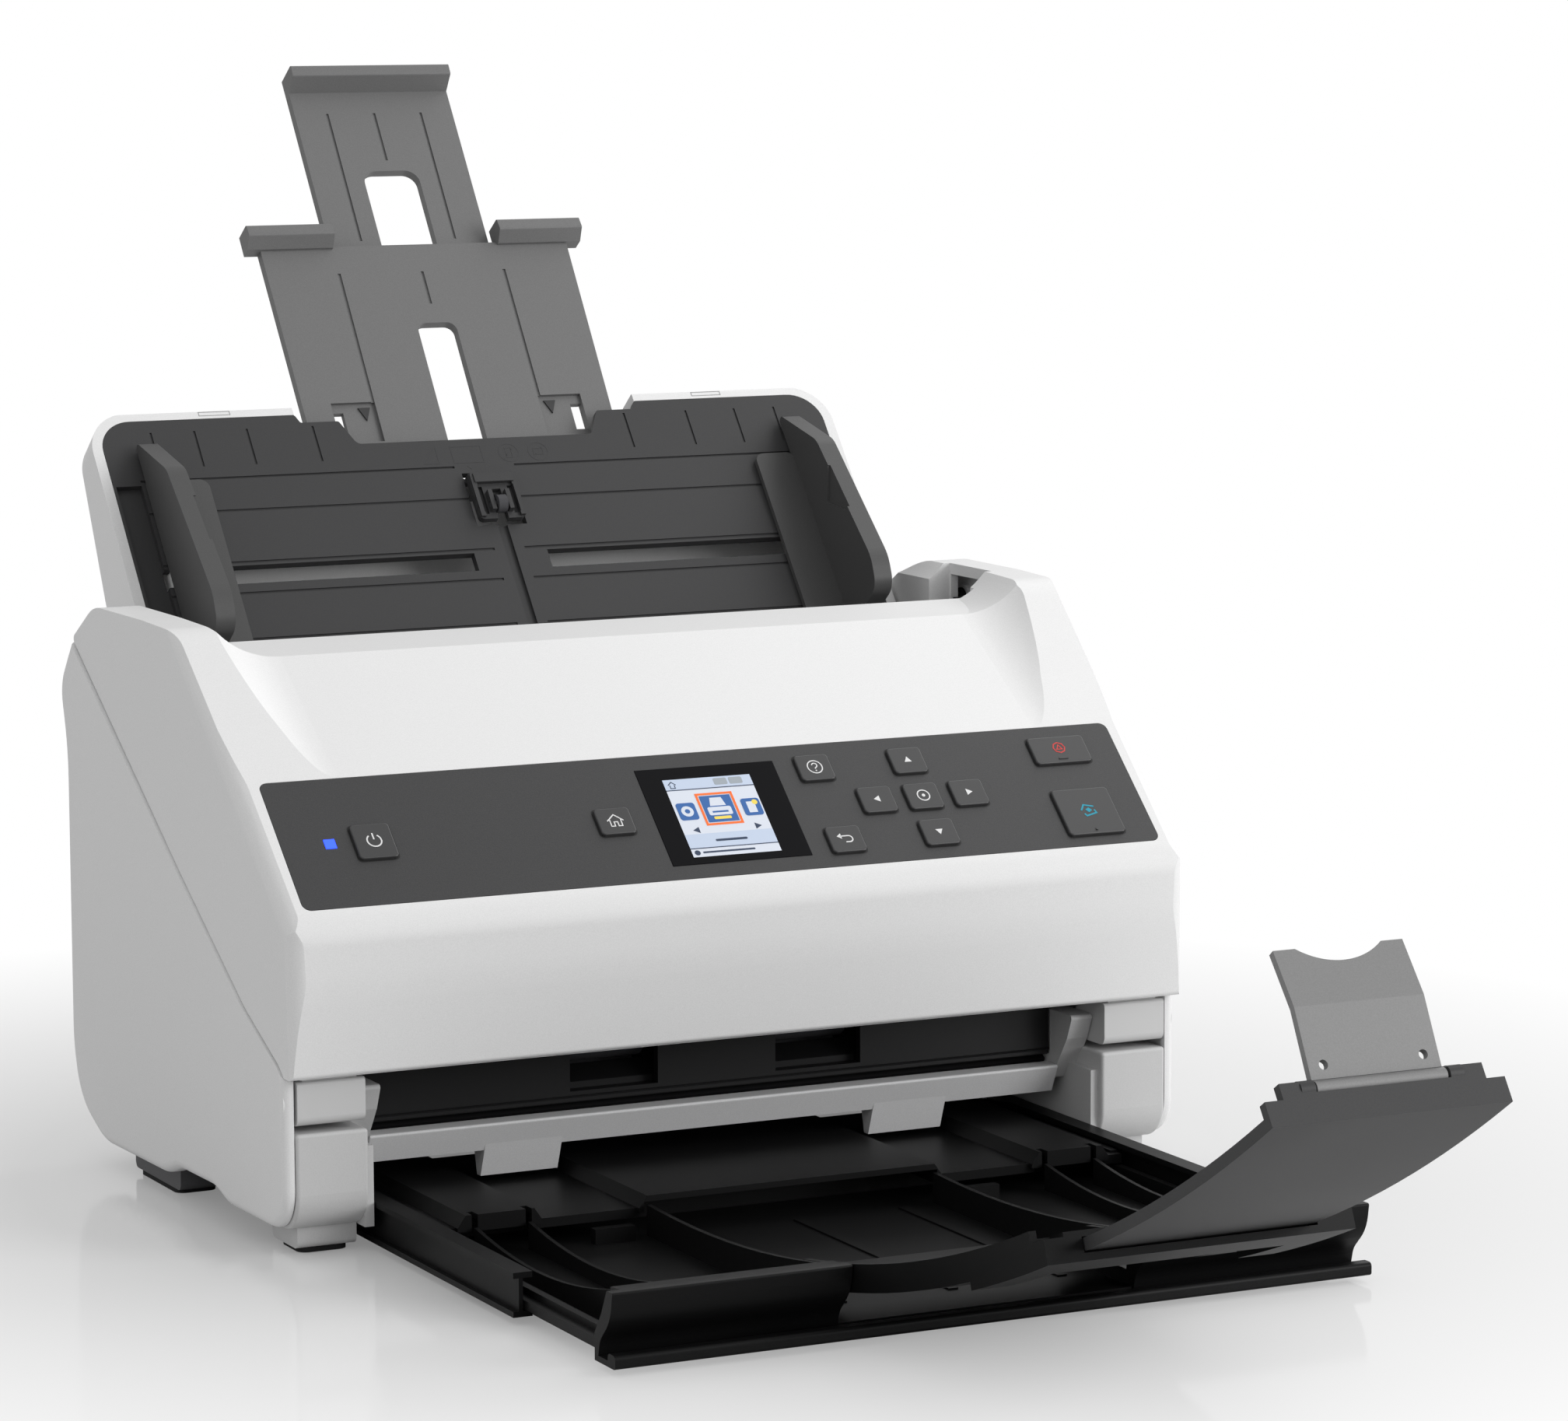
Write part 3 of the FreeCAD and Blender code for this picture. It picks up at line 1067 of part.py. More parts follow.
def foot_bar():
    """Rounded bar along the table, ahead of the flange, with a web back to the floor plate."""
    front = FLANGE_FRONT - 1.5
    profile = [(front, 2.4, 0.5), (front, 5.4, 1.2), (front + 4.5, 5.4, 1.2), (front + 4.5, 3.4),
               (FLANGE_REAR, 3.4), (FLANGE_REAR, 1.8), (front + 0.6, 1.8, 0.5)]
    return prism(profile, -FLANGE_HALF_WIDTH, FLANGE_HALF_WIDTH)


def stacker_tray():
    """Ribbed second stage of the output tray, with the curved flange along its front."""
    rear = -6.0
    half = RAIL_INNER - 0.6
    floor = box(-half, half, FLANGE_REAR, rear, 2.0, 4.0)
    tongues = []
    for side in (-1, 1):
        low, high = sorted((side * (half - 2), side * (RAIL_WEB[1] - GAP)))
        tongues.append(box(low, high, FLANGE_REAR + 0.5, rear, 4.0, 6.4))
    shapes = [floor] + tongues
    for inner in (80.0, 96.0):
        shapes.append(side_rib(inner, inner + 1.2, 19.5))
        shapes.append(mirrored(shapes[-1]))
    wall = box(half - 2.2, half, FLANGE_REAR, rear, 2.0, 8.3)
    shapes += [wall, mirrored(wall)]
    shapes.append(box(-half, half, rear - 2.0, rear, 2.0, 8.3))
    for x0, x1 in ((-FLANGE_GAP, FLANGE_GAP), (79.0, 99.2), (-99.2, -79.0)):
        shapes.append(box(x0, x1, rear - 2.0, rear, 8.0, 12.6))
    wall = arc_plate(ARC_RIM, ARC_RIM + 9, arc_degrees(-29.6, ARC_RIM), arc_degrees(-141, ARC_RIM),
                     FLANGE_GAP, FLANGE_GAP + 1.4)
    wall = wall.fuse(box(FLANGE_GAP, FLANGE_GAP + 1.4, FLANGE_REAR, -29.6, 2.2, 8.0))
    shapes += [wall, mirrored(wall)]
    low_bar = box(-FLANGE_GAP - 1, FLANGE_GAP + 1, FLANGE_REAR - 1.8, FLANGE_REAR, 1.8, 4.0)
    flange = prism(flange_outline(), FLANGE_GAP, FLANGE_HALF_WIDTH)
    shapes += [low_bar, flange, mirrored(flange)]
    closing = prism([(FLANGE_REAR - 0.5, 2.0), (FLANGE_REAR - 0.5, 9.0), (FLANGE_REAR - 5, 14.0),
                     (FLANGE_FRONT + 3, 20.8), (FLANGE_REAR + 1, 20.0), (FLANGE_REAR + 2, 2.0)],
                    FLANGE_GAP, half)
    shapes += [closing, mirrored(closing)]
    for x in (-33.0, 0.0, 33.0):
        shapes.append(box(x - 1.4, x + 1.4, -124, -32, 3.9, 4.5))
    lug = box(51, 63, -34, -31, 3.9, 8.3)
    shapes += [lug, mirrored(lug), foot_bar()]
    return fuse(shapes)


def curved_extension():
    """Centre extension: a curved trough ending in a lip, with a slot for the leaf."""
    front = arc_degrees(LIP_DEPTH, ARC_FLOOR)
    rear = arc_degrees(-122.0, ARC_FLOOR)
    skirt = arc_degrees(-212.0, ARC_FLOOR)
    half = EXTENSION_HALF_WIDTH
    floor = arc_plate(ARC_FLOOR, ARC_FLOOR + 1.6, rear, front, -half, half)
    shapes = [floor]
    for side in (-1, 1):
        low, high = sorted((side * (half - 2.0), side * half))
        shapes.append(arc_plate(ARC_RIM, ARC_FLOOR + 5.2, rear, front, low, high))
        low, high = sorted((side * (LEAF_HALF_WIDTH + 0.5), side * half))
        shapes.append(arc_plate(ARC_FLOOR + 1.0, ARC_FLOOR + 5.4, rear, front, low, high))
        shapes.append(arc_plate(ARC_FLOOR + 4.0, ARC_FLOOR + 7.6, skirt, front, low, high))
    under = arc_plate(ARC_FLOOR + 5.6, ARC_FLOOR + 7.6, front - 2.0, front, -half, half)
    shapes.append(under)
    body = fuse(shapes)
    lip_rear = front - 0.35
    notch = arc_plate(ARC_RIM - 3, ARC_RIM + 3.2, lip_rear - 0.4, front + 1, half - 5.6, half + 1)
    flap_room = arc_plate(ARC_RIM - 3, ARC_FLOOR + 1.8, front - 4.6, front + 1, -18.6, 18.6)
    return cut(body, [notch, mirrored(notch), flap_room])


def extension_leaf():
    """Thin leaf that slides out of the curved extension's lip."""
    inner, outer = ARC_FLOOR + 1.9, ARC_FLOOR + 5.0
    front = arc_degrees(LEAF_DEPTH, outer)
    rear = arc_degrees(-226.0, outer)
    half = LEAF_HALF_WIDTH
    leaf = arc_plate(inner, outer, rear, front, -half, half)
    low_lip = arc_plate(ARC_RIM + 0.6, outer, front - 0.3, front, -half, half)
    high_lip = arc_plate(ARC_RIM - 3.4, outer, front - 0.3, front, -half + 5, half - 5)
    body = fuse([leaf, low_lip, high_lip])
    lug = rod(2.2, FLAP_HALF_WIDTH + 0.6, FLAP_HALF_WIDTH + 4.4, FLAP_HINGE)
    body = fuse([body, lug, mirrored(lug)])
    room = rod(2.3, -FLAP_HALF_WIDTH - 0.6, FLAP_HALF_WIDTH + 0.6, FLAP_HINGE)
    bore = rod(1.05, -FLAP_HALF_WIDTH - 4.4, FLAP_HALF_WIDTH + 4.4, FLAP_HINGE)
    return cut(body, [room, bore])


def stopper_flap():
    """Bent flap at the end of the leaf that stops the sheets; it folds down on to the leaf."""
    half = FLAP_HALF_WIDTH
    flap = prism(strip([FLAP_HINGE, FLAP_BEND, FLAP_TOP], -2.0), -half, half)
    slope = math.degrees(math.atan2(FLAP_TOP[1] - FLAP_BEND[1], FLAP_TOP[0] - FLAP_BEND[0]))
    notch = Part.makeCylinder(19.0, 20, Vector(0, 15.0, -10), Vector(0, 0, 1))
    flap = flap.cut(on_slope(notch, slope, FLAP_TOP))
    slope = math.degrees(math.atan2(FLAP_BEND[1] - FLAP_HINGE[1], FLAP_BEND[0] - FLAP_HINGE[0]))
    for x in (-13.5, 13.5):
        hole = Part.makeCylinder(1.2, 20, Vector(x, 5.5, -10), Vector(0, 0, 1))
        flap = flap.cut(on_slope(hole, slope, FLAP_HINGE))
    barrel = rod(1.9, -half, half, FLAP_HINGE)
    pin = rod(1.0, -half - 4.2, half + 4.2, FLAP_HINGE)
    return fuse([flap, barrel, pin])


# ---------------------------------------------------------------- pieces
def save_all():
    base = [base_frame, front_legs, rear_cover, exit_bar, rear_paper_guide, rear_scan_glass,
            rear_image_sensor, main_board, feed_motor, rear_connectors, rubber_feet, case_screws,
            shaft_bearings, drive_belts, tray_shell, tray_bed, right_side_panel]
    drive = [pickup_roller, pickup_pulley, feed_roller, feed_gear, exit_roller, exit_pulley,
             motor_pinion]
    hopper = [left_edge_guide, right_edge_guide, guide_pinion, paper_support, support_roller,
              lower_tray_extension, upper_tray_extension]
    cover = [cover_shell, control_panel, lcd_display, status_light, front_paper_guide,
             front_scan_glass, front_image_sensor, separation_roller, feed_idlers, eject_idlers,
             cover_lever]
    output = [tray_frame, tray_top_plate, stacker_tray, curved_extension, extension_leaf,
              stopper_flap]
    for piece in base + drive + hopper + cover + output:
        save(piece.__name__, piece())
    save("left_side_panel", mirrored(right_side_panel()))
    for name, (x, s, width, height) in BUTTONS.items():
        save(name, button(x, s, width, height))


save_all()
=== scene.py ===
"""Looks of the sheet fed scanner: materials, printed marks, softened edges, camera and lights."""
import json
import math

import bmesh
import bpy
from mathutils import Matrix, Vector


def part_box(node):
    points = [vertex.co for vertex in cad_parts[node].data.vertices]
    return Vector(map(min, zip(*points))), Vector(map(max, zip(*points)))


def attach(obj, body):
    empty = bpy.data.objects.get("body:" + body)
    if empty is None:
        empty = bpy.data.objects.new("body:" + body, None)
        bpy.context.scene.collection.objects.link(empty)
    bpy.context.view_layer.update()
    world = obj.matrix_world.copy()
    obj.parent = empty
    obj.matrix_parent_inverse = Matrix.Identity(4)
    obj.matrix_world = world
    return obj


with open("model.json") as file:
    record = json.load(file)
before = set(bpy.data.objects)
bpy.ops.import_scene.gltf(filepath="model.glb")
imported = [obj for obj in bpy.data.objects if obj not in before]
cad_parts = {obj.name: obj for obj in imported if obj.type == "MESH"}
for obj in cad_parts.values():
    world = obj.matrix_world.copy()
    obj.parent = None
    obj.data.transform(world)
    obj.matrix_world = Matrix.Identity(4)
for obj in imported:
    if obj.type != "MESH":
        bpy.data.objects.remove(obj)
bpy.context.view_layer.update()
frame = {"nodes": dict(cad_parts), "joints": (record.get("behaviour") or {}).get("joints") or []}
JOINTS = {joint["name"]: joint for joint in frame["joints"]}
MM = 0.001
X = Vector((1, 0, 0))
SIDES = ((-1, "left"), (1, "right"))


# ---------------------------------------------------------------- materials
def plastic(name, colour, roughness, grain=0.0, grain_size=0.5, bump=0.0, specular=0.5, coat=0.0):
    """Moulded plastic: a fine grain varies its colour and roughness and roughens its surface."""
    material = bpy.data.materials.new(name)
    material.use_nodes = True
    nodes, links = material.node_tree.nodes, material.node_tree.links
    shader = nodes["Principled BSDF"]
    place = nodes.new("ShaderNodeTexCoord")
    fine = nodes.new("ShaderNodeTexNoise")
    fine.inputs["Scale"].default_value = 1.0 / (grain_size * MM)
    fine.inputs["Detail"].default_value = 3.0
    links.new(place.outputs["Object"], fine.inputs["Vector"])
    wide = nodes.new("ShaderNodeTexNoise")
    wide.inputs["Scale"].default_value = 14.0
    wide.inputs["Detail"].default_value = 4.0
    links.new(place.outputs["Object"], wide.inputs["Vector"])
    ramp = nodes.new("ShaderNodeValToRGB")
    ramp.color_ramp.elements[0].position = 0.3
    ramp.color_ramp.elements[1].position = 0.7
    ramp.color_ramp.elements[0].color = [c * (1 - grain) for c in colour] + [1]
    ramp.color_ramp.elements[1].color = [min(1.0, c * (1 + grain)) for c in colour] + [1]
    links.new(fine.outputs["Fac"], ramp.inputs["Fac"])
    links.new(ramp.outputs["Color"], shader.inputs["Base Color"])
    rough = nodes.new("ShaderNodeMapRange")
    rough.inputs["To Min"].default_value = roughness - 0.05
    rough.inputs["To Max"].default_value = roughness + 0.05
    links.new(wide.outputs["Fac"], rough.inputs["Value"])
    links.new(rough.outputs["Result"], shader.inputs["Roughness"])
    shader.inputs["Specular IOR Level"].default_value = specular
    shader.inputs["Coat Weight"].default_value = coat
    shader.inputs["Coat Roughness"].default_value = 0.08
    if bump:
        raised = nodes.new("ShaderNodeBump")
        raised.inputs["Strength"].default_value = bump
        raised.inputs["Distance"].default_value = 0.05 * MM
        links.new(fine.outputs["Fac"], raised.inputs["Height"])
        links.new(raised.outputs["Normal"], shader.inputs["Normal"])
    return material


def glow(name, colour, strength):
    """Plastic that also gives off light, for the screen and the status light."""
    material = plastic(name, colour, 0.3)
    shader = material.node_tree.nodes["Principled BSDF"]
    shader.inputs["Emission Color"].default_value = list(colour) + [1]
    shader.inputs["Emission Strength"].default_value = strength
    return material


def metal(name, colour, roughness):
    """Bare metal with a faint grain."""
    material = plastic(name, colour, roughness, 0.03, 0.2)
    material.node_tree.nodes["Principled BSDF"].inputs["Metallic"].default_value = 1.0
    return material


def glass(name):
    """Clear glass with a slight green tint."""
    material = plastic(name, (0.8, 0.86, 0.86), 0.06)
    material.node_tree.nodes["Principled BSDF"].inputs["Transmission Weight"].default_value = 0.9
    return material


WHITE = plastic("white_shell", (0.80, 0.80, 0.80), 0.50, 0.035, 0.35, 0.25, 0.4)
COVER = plastic("cover_white", (0.80, 0.80, 0.80), 0.50, 0.035, 0.35, 0.25, 0.4)
PANEL = plastic("panel_grey", (0.044, 0.044, 0.045), 0.40, 0.16, 0.3, 0.4, 0.4)
KEY = plastic("key_grey", (0.044, 0.044, 0.045), 0.38, 0.06, 0.25, 0.15, 0.5)
BED = plastic("tray_grey", (0.041, 0.041, 0.042), 0.50, 0.08, 0.3, 0.3, 0.35)
GUIDE = plastic("guide_grey", (0.072, 0.072, 0.072), 0.50, 0.07, 0.3, 0.3, 0.4)
EXTENSION = plastic("extension_grey", (0.160, 0.160, 0.160), 0.50, 0.08, 0.35, 0.3, 0.4)
LEAF = plastic("leaf_grey", (0.052, 0.052, 0.053), 0.48, 0.07, 0.35, 0.25, 0.25)
FLAP = plastic("flap_grey", (0.235, 0.235, 0.235), 0.50, 0.06, 0.35, 0.25, 0.4)
BLACK = plastic("output_black", (0.006, 0.006, 0.0062), 0.42, 0.10, 0.35, 0.3, 0.13)
INNER = plastic("inner_black", (0.007, 0.007, 0.0075), 0.5, 0.1, 0.35, 0.2, 0.25)
BAR = plastic("exit_bar_grey", (0.66, 0.66, 0.665), 0.45, 0.05, 0.35, 0.25, 0.4)
NATURAL = plastic("natural_white", (0.72, 0.71, 0.67), 0.42, 0.03, 0.4)
RUBBER = plastic("soft_rubber", (0.022, 0.022, 0.023), 0.8, 0.15, 0.3, 0.5, 0.2)
GREY_RUBBER = plastic("grey_rubber", (0.07, 0.07, 0.075), 0.75, 0.12, 0.3, 0.5, 0.2)
BEZEL = plastic("bezel_black", (0.006, 0.006, 0.007), 0.18, 0.0, 0.5, 0.0, 0.10)
BOARD = plastic("board_green", (0.02, 0.13, 0.06), 0.35, 0.2, 1.2)
STEEL = metal("bright_steel", (0.62, 0.62, 0.62), 0.3)
BRONZE = metal("bronze", (0.55, 0.38, 0.2), 0.35)
CLEAR = glass("clear_glass")
INK_WHITE = plastic("ink_white", (0.78, 0.78, 0.78), 0.5, 0.03)
INK_RED = plastic("ink_red", (0.62, 0.035, 0.03), 0.45, 0.05)
INK_CYAN = plastic("ink_cyan", (0.0, 0.30, 0.42), 0.45, 0.05)
LIGHT_BLUE = glow("light_blue", (0.02, 0.06, 0.95), 2.2)
# painted shade: near black for the bands drawn round the keys, standing in for the shade in their gaps
PAINTED_KEY_SHADE = plastic("painted_key_shade", (0.006, 0.006, 0.006), 0.6, 0.05)
SEAM_GREY = plastic("seam_grey", (0.30, 0.30, 0.30), 0.6, 0.05)
EMBOSSED = plastic("embossed_grey", (0.030, 0.030, 0.031), 0.55, 0.05)
LEG_WHITE = plastic("leg_white", (0.58, 0.58, 0.58), 0.50, 0.035, 0.35, 0.25, 0.4)
FRAME_GREY = plastic("frame_grey", (0.10, 0.10, 0.105), 0.55, 0.06, 0.4)

FINISH = {
    WHITE: "left_side_panel right_side_panel rear_cover tray_shell",
    COVER: "cover_shell",
    LEG_WHITE: "front_legs",
    PANEL: "control_panel",
    BED: "tray_bed paper_support",
    GUIDE: "left_edge_guide right_edge_guide",
    EXTENSION: "lower_tray_extension upper_tray_extension",
    LEAF: "extension_leaf",
    FLAP: "stopper_flap",
    BLACK: "tray_frame tray_top_plate stacker_tray curved_extension",
    INNER: "front_paper_guide rear_paper_guide rear_connectors cover_lever front_image_sensor "
           "rear_image_sensor",
    BAR: "exit_bar",
    KEY: "power_button home_button help_button back_button up_button left_button ok_button "
         "right_button down_button stop_button start_button",
    NATURAL: "guide_pinion pickup_pulley exit_pulley feed_gear motor_pinion",
    RUBBER: "rubber_feet drive_belts",
    GREY_RUBBER: "pickup_roller feed_roller exit_roller separation_roller feed_idlers "
                 "eject_idlers support_roller",
    BEZEL: "lcd_display",
    BOARD: "main_board",
    STEEL: "case_screws feed_motor",
    BRONZE: "shaft_bearings",
    CLEAR: "front_scan_glass rear_scan_glass",
    LIGHT_BLUE: "status_light",
    FRAME_GREY: "base_frame",
}
for material, names in FINISH.items():
    for name in names.split():
        node = frame["nodes"][name]
        node.data.materials.clear()
        node.data.materials.append(material)


# ---------------------------------------------------------------- drawing on the pieces
def extent(node, direction):
    """How far a CAD node reaches along a direction, lowest and highest."""
    reach = [vertex.co.dot(direction) for vertex in frame["nodes"][node].data.vertices]
    return min(reach), max(reach)


class Place:
    """A flat drawing surface: millimetres across (x), up the slope, and out of it."""

    def __init__(self, origin, up, out):
        self.origin, self.up, self.out = origin, up, out

    def at(self, x, up, out=0.0):
        """Point of the frame at drawing coordinates."""
        return self.origin + (X * x + self.up * up + self.out * out) * MM

    def moved(self, x, up, out=0.0):
        """The same surface with its origin elsewhere."""
        return Place(self.at(x, up, out), self.up, self.out)


def slope_axes(out):
    """Directions up a sloping face and out of it, from the outward direction."""
    return Vector((0, out[2], -out[1])), Vector(out)


def node_place(node, up, out):
    """Middle of a node's outer face."""
    x0, x1 = extent(node, X)
    u0, u1 = extent(node, up)
    top = extent(node, out)[1]
    return Place(X * ((x0 + x1) / 2) + up * ((u0 + u1) / 2) + out * top, up, out)


def finish_piece(name, mesh, material, body):
    """Turns a built mesh into a named piece that rides on a body."""
    data = bpy.data.meshes.new(name)
    mesh.to_mesh(data)
    mesh.free()
    data.materials.append(material)
    piece = bpy.data.objects.new(name, data)
    bpy.context.scene.collection.objects.link(piece)
    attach(piece, body)
    return piece


def draw(name, place, polygons, material, body, rise=0.06, sink=0.03):
    """Thin raised print, or a band of painted shade: flat polygons in millimetres, standing a little out of
    the surface.
    """
    mesh = bmesh.new()
    for polygon in polygons:
        low = [mesh.verts.new(place.at(x, u, -sink)) for x, u in polygon]
        high = [mesh.verts.new(place.at(x, u, rise)) for x, u in polygon]
        mesh.faces.new(high)
        mesh.faces.new(low[::-1])
        for i in range(len(low)):
            j = (i + 1) % len(low)
            mesh.faces.new((low[i], low[j], high[j], high[i]))
    bmesh.ops.recalc_face_normals(mesh, faces=mesh.faces)
    return finish_piece(name, mesh, material, body)


def band(points, width, closed=False):
    """Line of even width along points, as a list of quadrilaterals."""
    count = len(points)
    sides = []
    for i, (x, y) in enumerate(points):
        before = points[i - 1] if closed or i > 0 else None
        after = points[(i + 1) % count] if closed or i < count - 1 else None
        normals = []
        for a, b in ((before, (x, y)), ((x, y), after)):
            if a is not None and b is not None:
                run, rise = b[0] - a[0], b[1] - a[1]
                length = math.hypot(run, rise)
                normals.append((-rise / length, run / length))
        nx, ny = sum(n[0] for n in normals), sum(n[1] for n in normals)
        scale = width / 2 * len(normals) / (nx * nx + ny * ny)
        sides.append(((x + nx * scale, y + ny * scale), (x - nx * scale, y - ny * scale)))
    last = count if closed else count - 1
    return [[sides[i][0], sides[i][1], sides[(i + 1) % count][1], sides[(i + 1) % count][0]]
            for i in range(last)]


def arc(x, y, radius, start, end, count=20):
    """Points along an arc between two angles in degrees."""
    steps = [math.radians(start + (end - start) * i / (count - 1)) for i in range(count)]
    return [(x + radius * math.cos(a), y + radius * math.sin(a)) for a in steps]


def circle(x, y, radius, count=24):
    """Points round a circle."""
    return arc(x, y, radius, 0, 360 * (count - 1) / count, count)


def rectangle(x0, x1, y0, y1):
    """Corners of an upright rectangle."""
    return [(x0, y0), (x1, y0), (x1, y1), (x0, y1)]


def rounded(x0, x1, y0, y1, radius):
    """Points round a rectangle with round corners."""
    return (arc(x1 - radius, y0 + radius, radius, -90, 0, 6)
            + arc(x1 - radius, y1 - radius, radius, 0, 90, 6)
            + arc(x0 + radius, y1 - radius, radius, 90, 180, 6)
            + arc(x0 + radius, y0 + radius, radius, 180, 270, 6))


def turned(points, degrees):
    """The points turned about the origin."""
    c, s = math.cos(math.radians(degrees)), math.sin(math.radians(degrees))
    return [(x * c - y * s, x * s + y * c) for x, y in points]


# ---------------------------------------------------------------- control panel
KEY_GAP = 0.25      # millimetres between a key and the edge of its opening
panel_up, panel_out = slope_axes([-a for a in JOINTS["ok_button_press"]["axis"]])
TRIANGLE = [(-1.15, -0.75), (1.15, -0.75), (0, 1.2)]
ICONS = {
    "power_button": band(arc(0, 0, 2.1, 125, 415), 0.42) + band([(0, 0.4), (0, 2.6)], 0.42),
    "home_button": band([(-2.5, -0.1), (0, 2.1), (2.5, -0.1)], 0.36)
    + band([(-1.7, 0.5), (-1.7, -2.0), (-0.55, -2.0), (-0.55, -0.5), (0.55, -0.5), (0.55, -2.0),
            (1.7, -2.0), (1.7, 0.5)], 0.32),
    "help_button": band(circle(0, 0, 2.3), 0.34, True)
    + band(arc(0, 0.55, 0.8, 170, -60, 12) + [(0, -0.45), (0, -0.7)], 0.34)
    + [circle(0, -1.35, 0.24, 10)],
    "back_button": band([(-1.6, 0.9), (0.9, 0.9)] + arc(0.9, -0.2, 1.1, 80, -80, 10)
                        + [(0.7, -1.3), (-0.4, -1.3)], 0.38) + [[(-2.7, 0.9), (-1.3, -0.1), (-1.3, 1.9)]],
    "up_button": [TRIANGLE],
    "down_button": [turned(TRIANGLE, 180)],
    "left_button": [turned(TRIANGLE, 90)],
    "right_button": [turned(TRIANGLE, -90)],
    "ok_button": band(circle(0, 0, 1.9), 0.36, True) + [circle(0, 0, 0.55, 14)],
}
panel_face = extent("control_panel", panel_out)[1]
# painted shade: a thin dark band on the panel face round each key stands in for the shade in the gap
# between the key and its opening
for key in list(ICONS) + ["stop_button", "start_button"]:
    top = node_place(key, panel_up, panel_out)
    x0, x1 = extent(key, X)
    u0, u1 = extent(key, panel_up)
    wide = (x1 - x0) / MM / 2 + KEY_GAP
    tall = (u1 - u0) / MM / 2 + KEY_GAP
    edge = top.moved(0, 0, (panel_face - top.origin.dot(panel_out)) / MM)
    draw(key + "_painted_shade", edge, band(rounded(-wide, wide, -tall, tall, 1.2), 0.5, True), PAINTED_KEY_SHADE,
         "scanner_cover", 0.02, 0.02)
for key, shapes in ICONS.items():
    draw(key + "_icon", node_place(key, panel_up, panel_out), shapes, INK_WHITE, key + "_body")
stop_key = node_place("stop_button", panel_up, panel_out)
draw("stop_icon", stop_key, band(circle(0, 0.6, 1.9, 8), 0.36, True)
     + band([(-0.9, 0.0), (0.9, 0.0), (0, 1.6)], 0.3, True), INK_RED, "stop_button_body")
draw("stop_bar", stop_key, [rounded(-1.6, 1.6, -3.7, -3.2, 0.2)], KEY, "stop_button_body", 0.25)
start_key = node_place("start_button", panel_up, panel_out)
draw("start_icon", start_key,
     band([(-2.3, 0.2), (-0.9, 2.2), (2.2, 1.4)], 0.5)
     + band([(-1.7, -1.0), (-1.2, -1.9), (2.3, -1.0), (1.9, 0.2)], 0.5)
     + [[(-0.9, 0.4), (0.0, -0.7), (1.2, 0.1), (0.3, 1.1)]], INK_CYAN, "start_button_body")
draw("start_dot", start_key, [circle(0.0, -7.0, 0.45, 14)], KEY, "start_button_body", 0.3)

SCREEN_WHITE = glow("screen_white", (0.66, 0.70, 0.78), 0.12)
SCREEN_PALE = glow("screen_pale", (0.52, 0.60, 0.74), 0.12)
SCREEN_BLUE = glow("screen_blue", (0.03, 0.12, 0.36), 0.15)
SCREEN_ORANGE = glow("screen_orange", (0.80, 0.14, 0.02), 0.3)
SCREEN_DARK = glow("screen_dark", (0.03, 0.05, 0.10), 0.05)
SCREEN_GREY = glow("screen_grey", (0.34, 0.38, 0.42), 0.1)
SCREEN_YELLOW = glow("screen_yellow", (0.80, 0.62, 0.10), 0.2)
# the lit picture sits a little left of the glass's middle and below it
screen = node_place("lcd_display", panel_up, panel_out).moved(-0.85, -0.95)
SCREEN_LEFT, SCREEN_RIGHT = -13.8, 13.8
home_sign = (band([(-12.6, 12.2), (-11.4, 13.3), (-10.2, 12.2)], 0.3)
             + band([(-12.1, 12.2), (-12.1, 11.0), (-10.7, 11.0), (-10.7, 12.2)], 0.3))
page_arrows = [[(-10.6, -4.6), (-8.6, -5.7), (-8.6, -3.5)], [(11.0, -4.6), (9.0, -5.7), (9.0, -3.5)]]
caption_bars = [rounded(-5.0, 5.0, -9.1, -8.3, 0.4), circle(-12.1, -12.7, 0.9, 16),
                rounded(-10.4, 6.0, -13.0, -12.4, 0.3)]
rules = [rectangle(SCREEN_LEFT, SCREEN_RIGHT, 10.1, 10.4),
         rectangle(SCREEN_LEFT, SCREEN_RIGHT, -11.3, -11.0)]
tiles = [rectangle(-4.7, 4.9, -2.2, 7.4), rounded(-12.9, -7.1, -0.8, 5.4, 0.9),
         rounded(7.5, 13.3, -0.8, 5.4, 0.9)]
tile_signs = [[(-2.4, 3.6), (2.6, 3.6), (1.9, 6.6), (-1.7, 6.6)], rounded(-3.6, 3.8, 0.2, 3.2, 0.6),
              circle(-10.0, 2.3, 1.9, 20), rectangle(9.0, 11.6, 0.2, 4.2)]
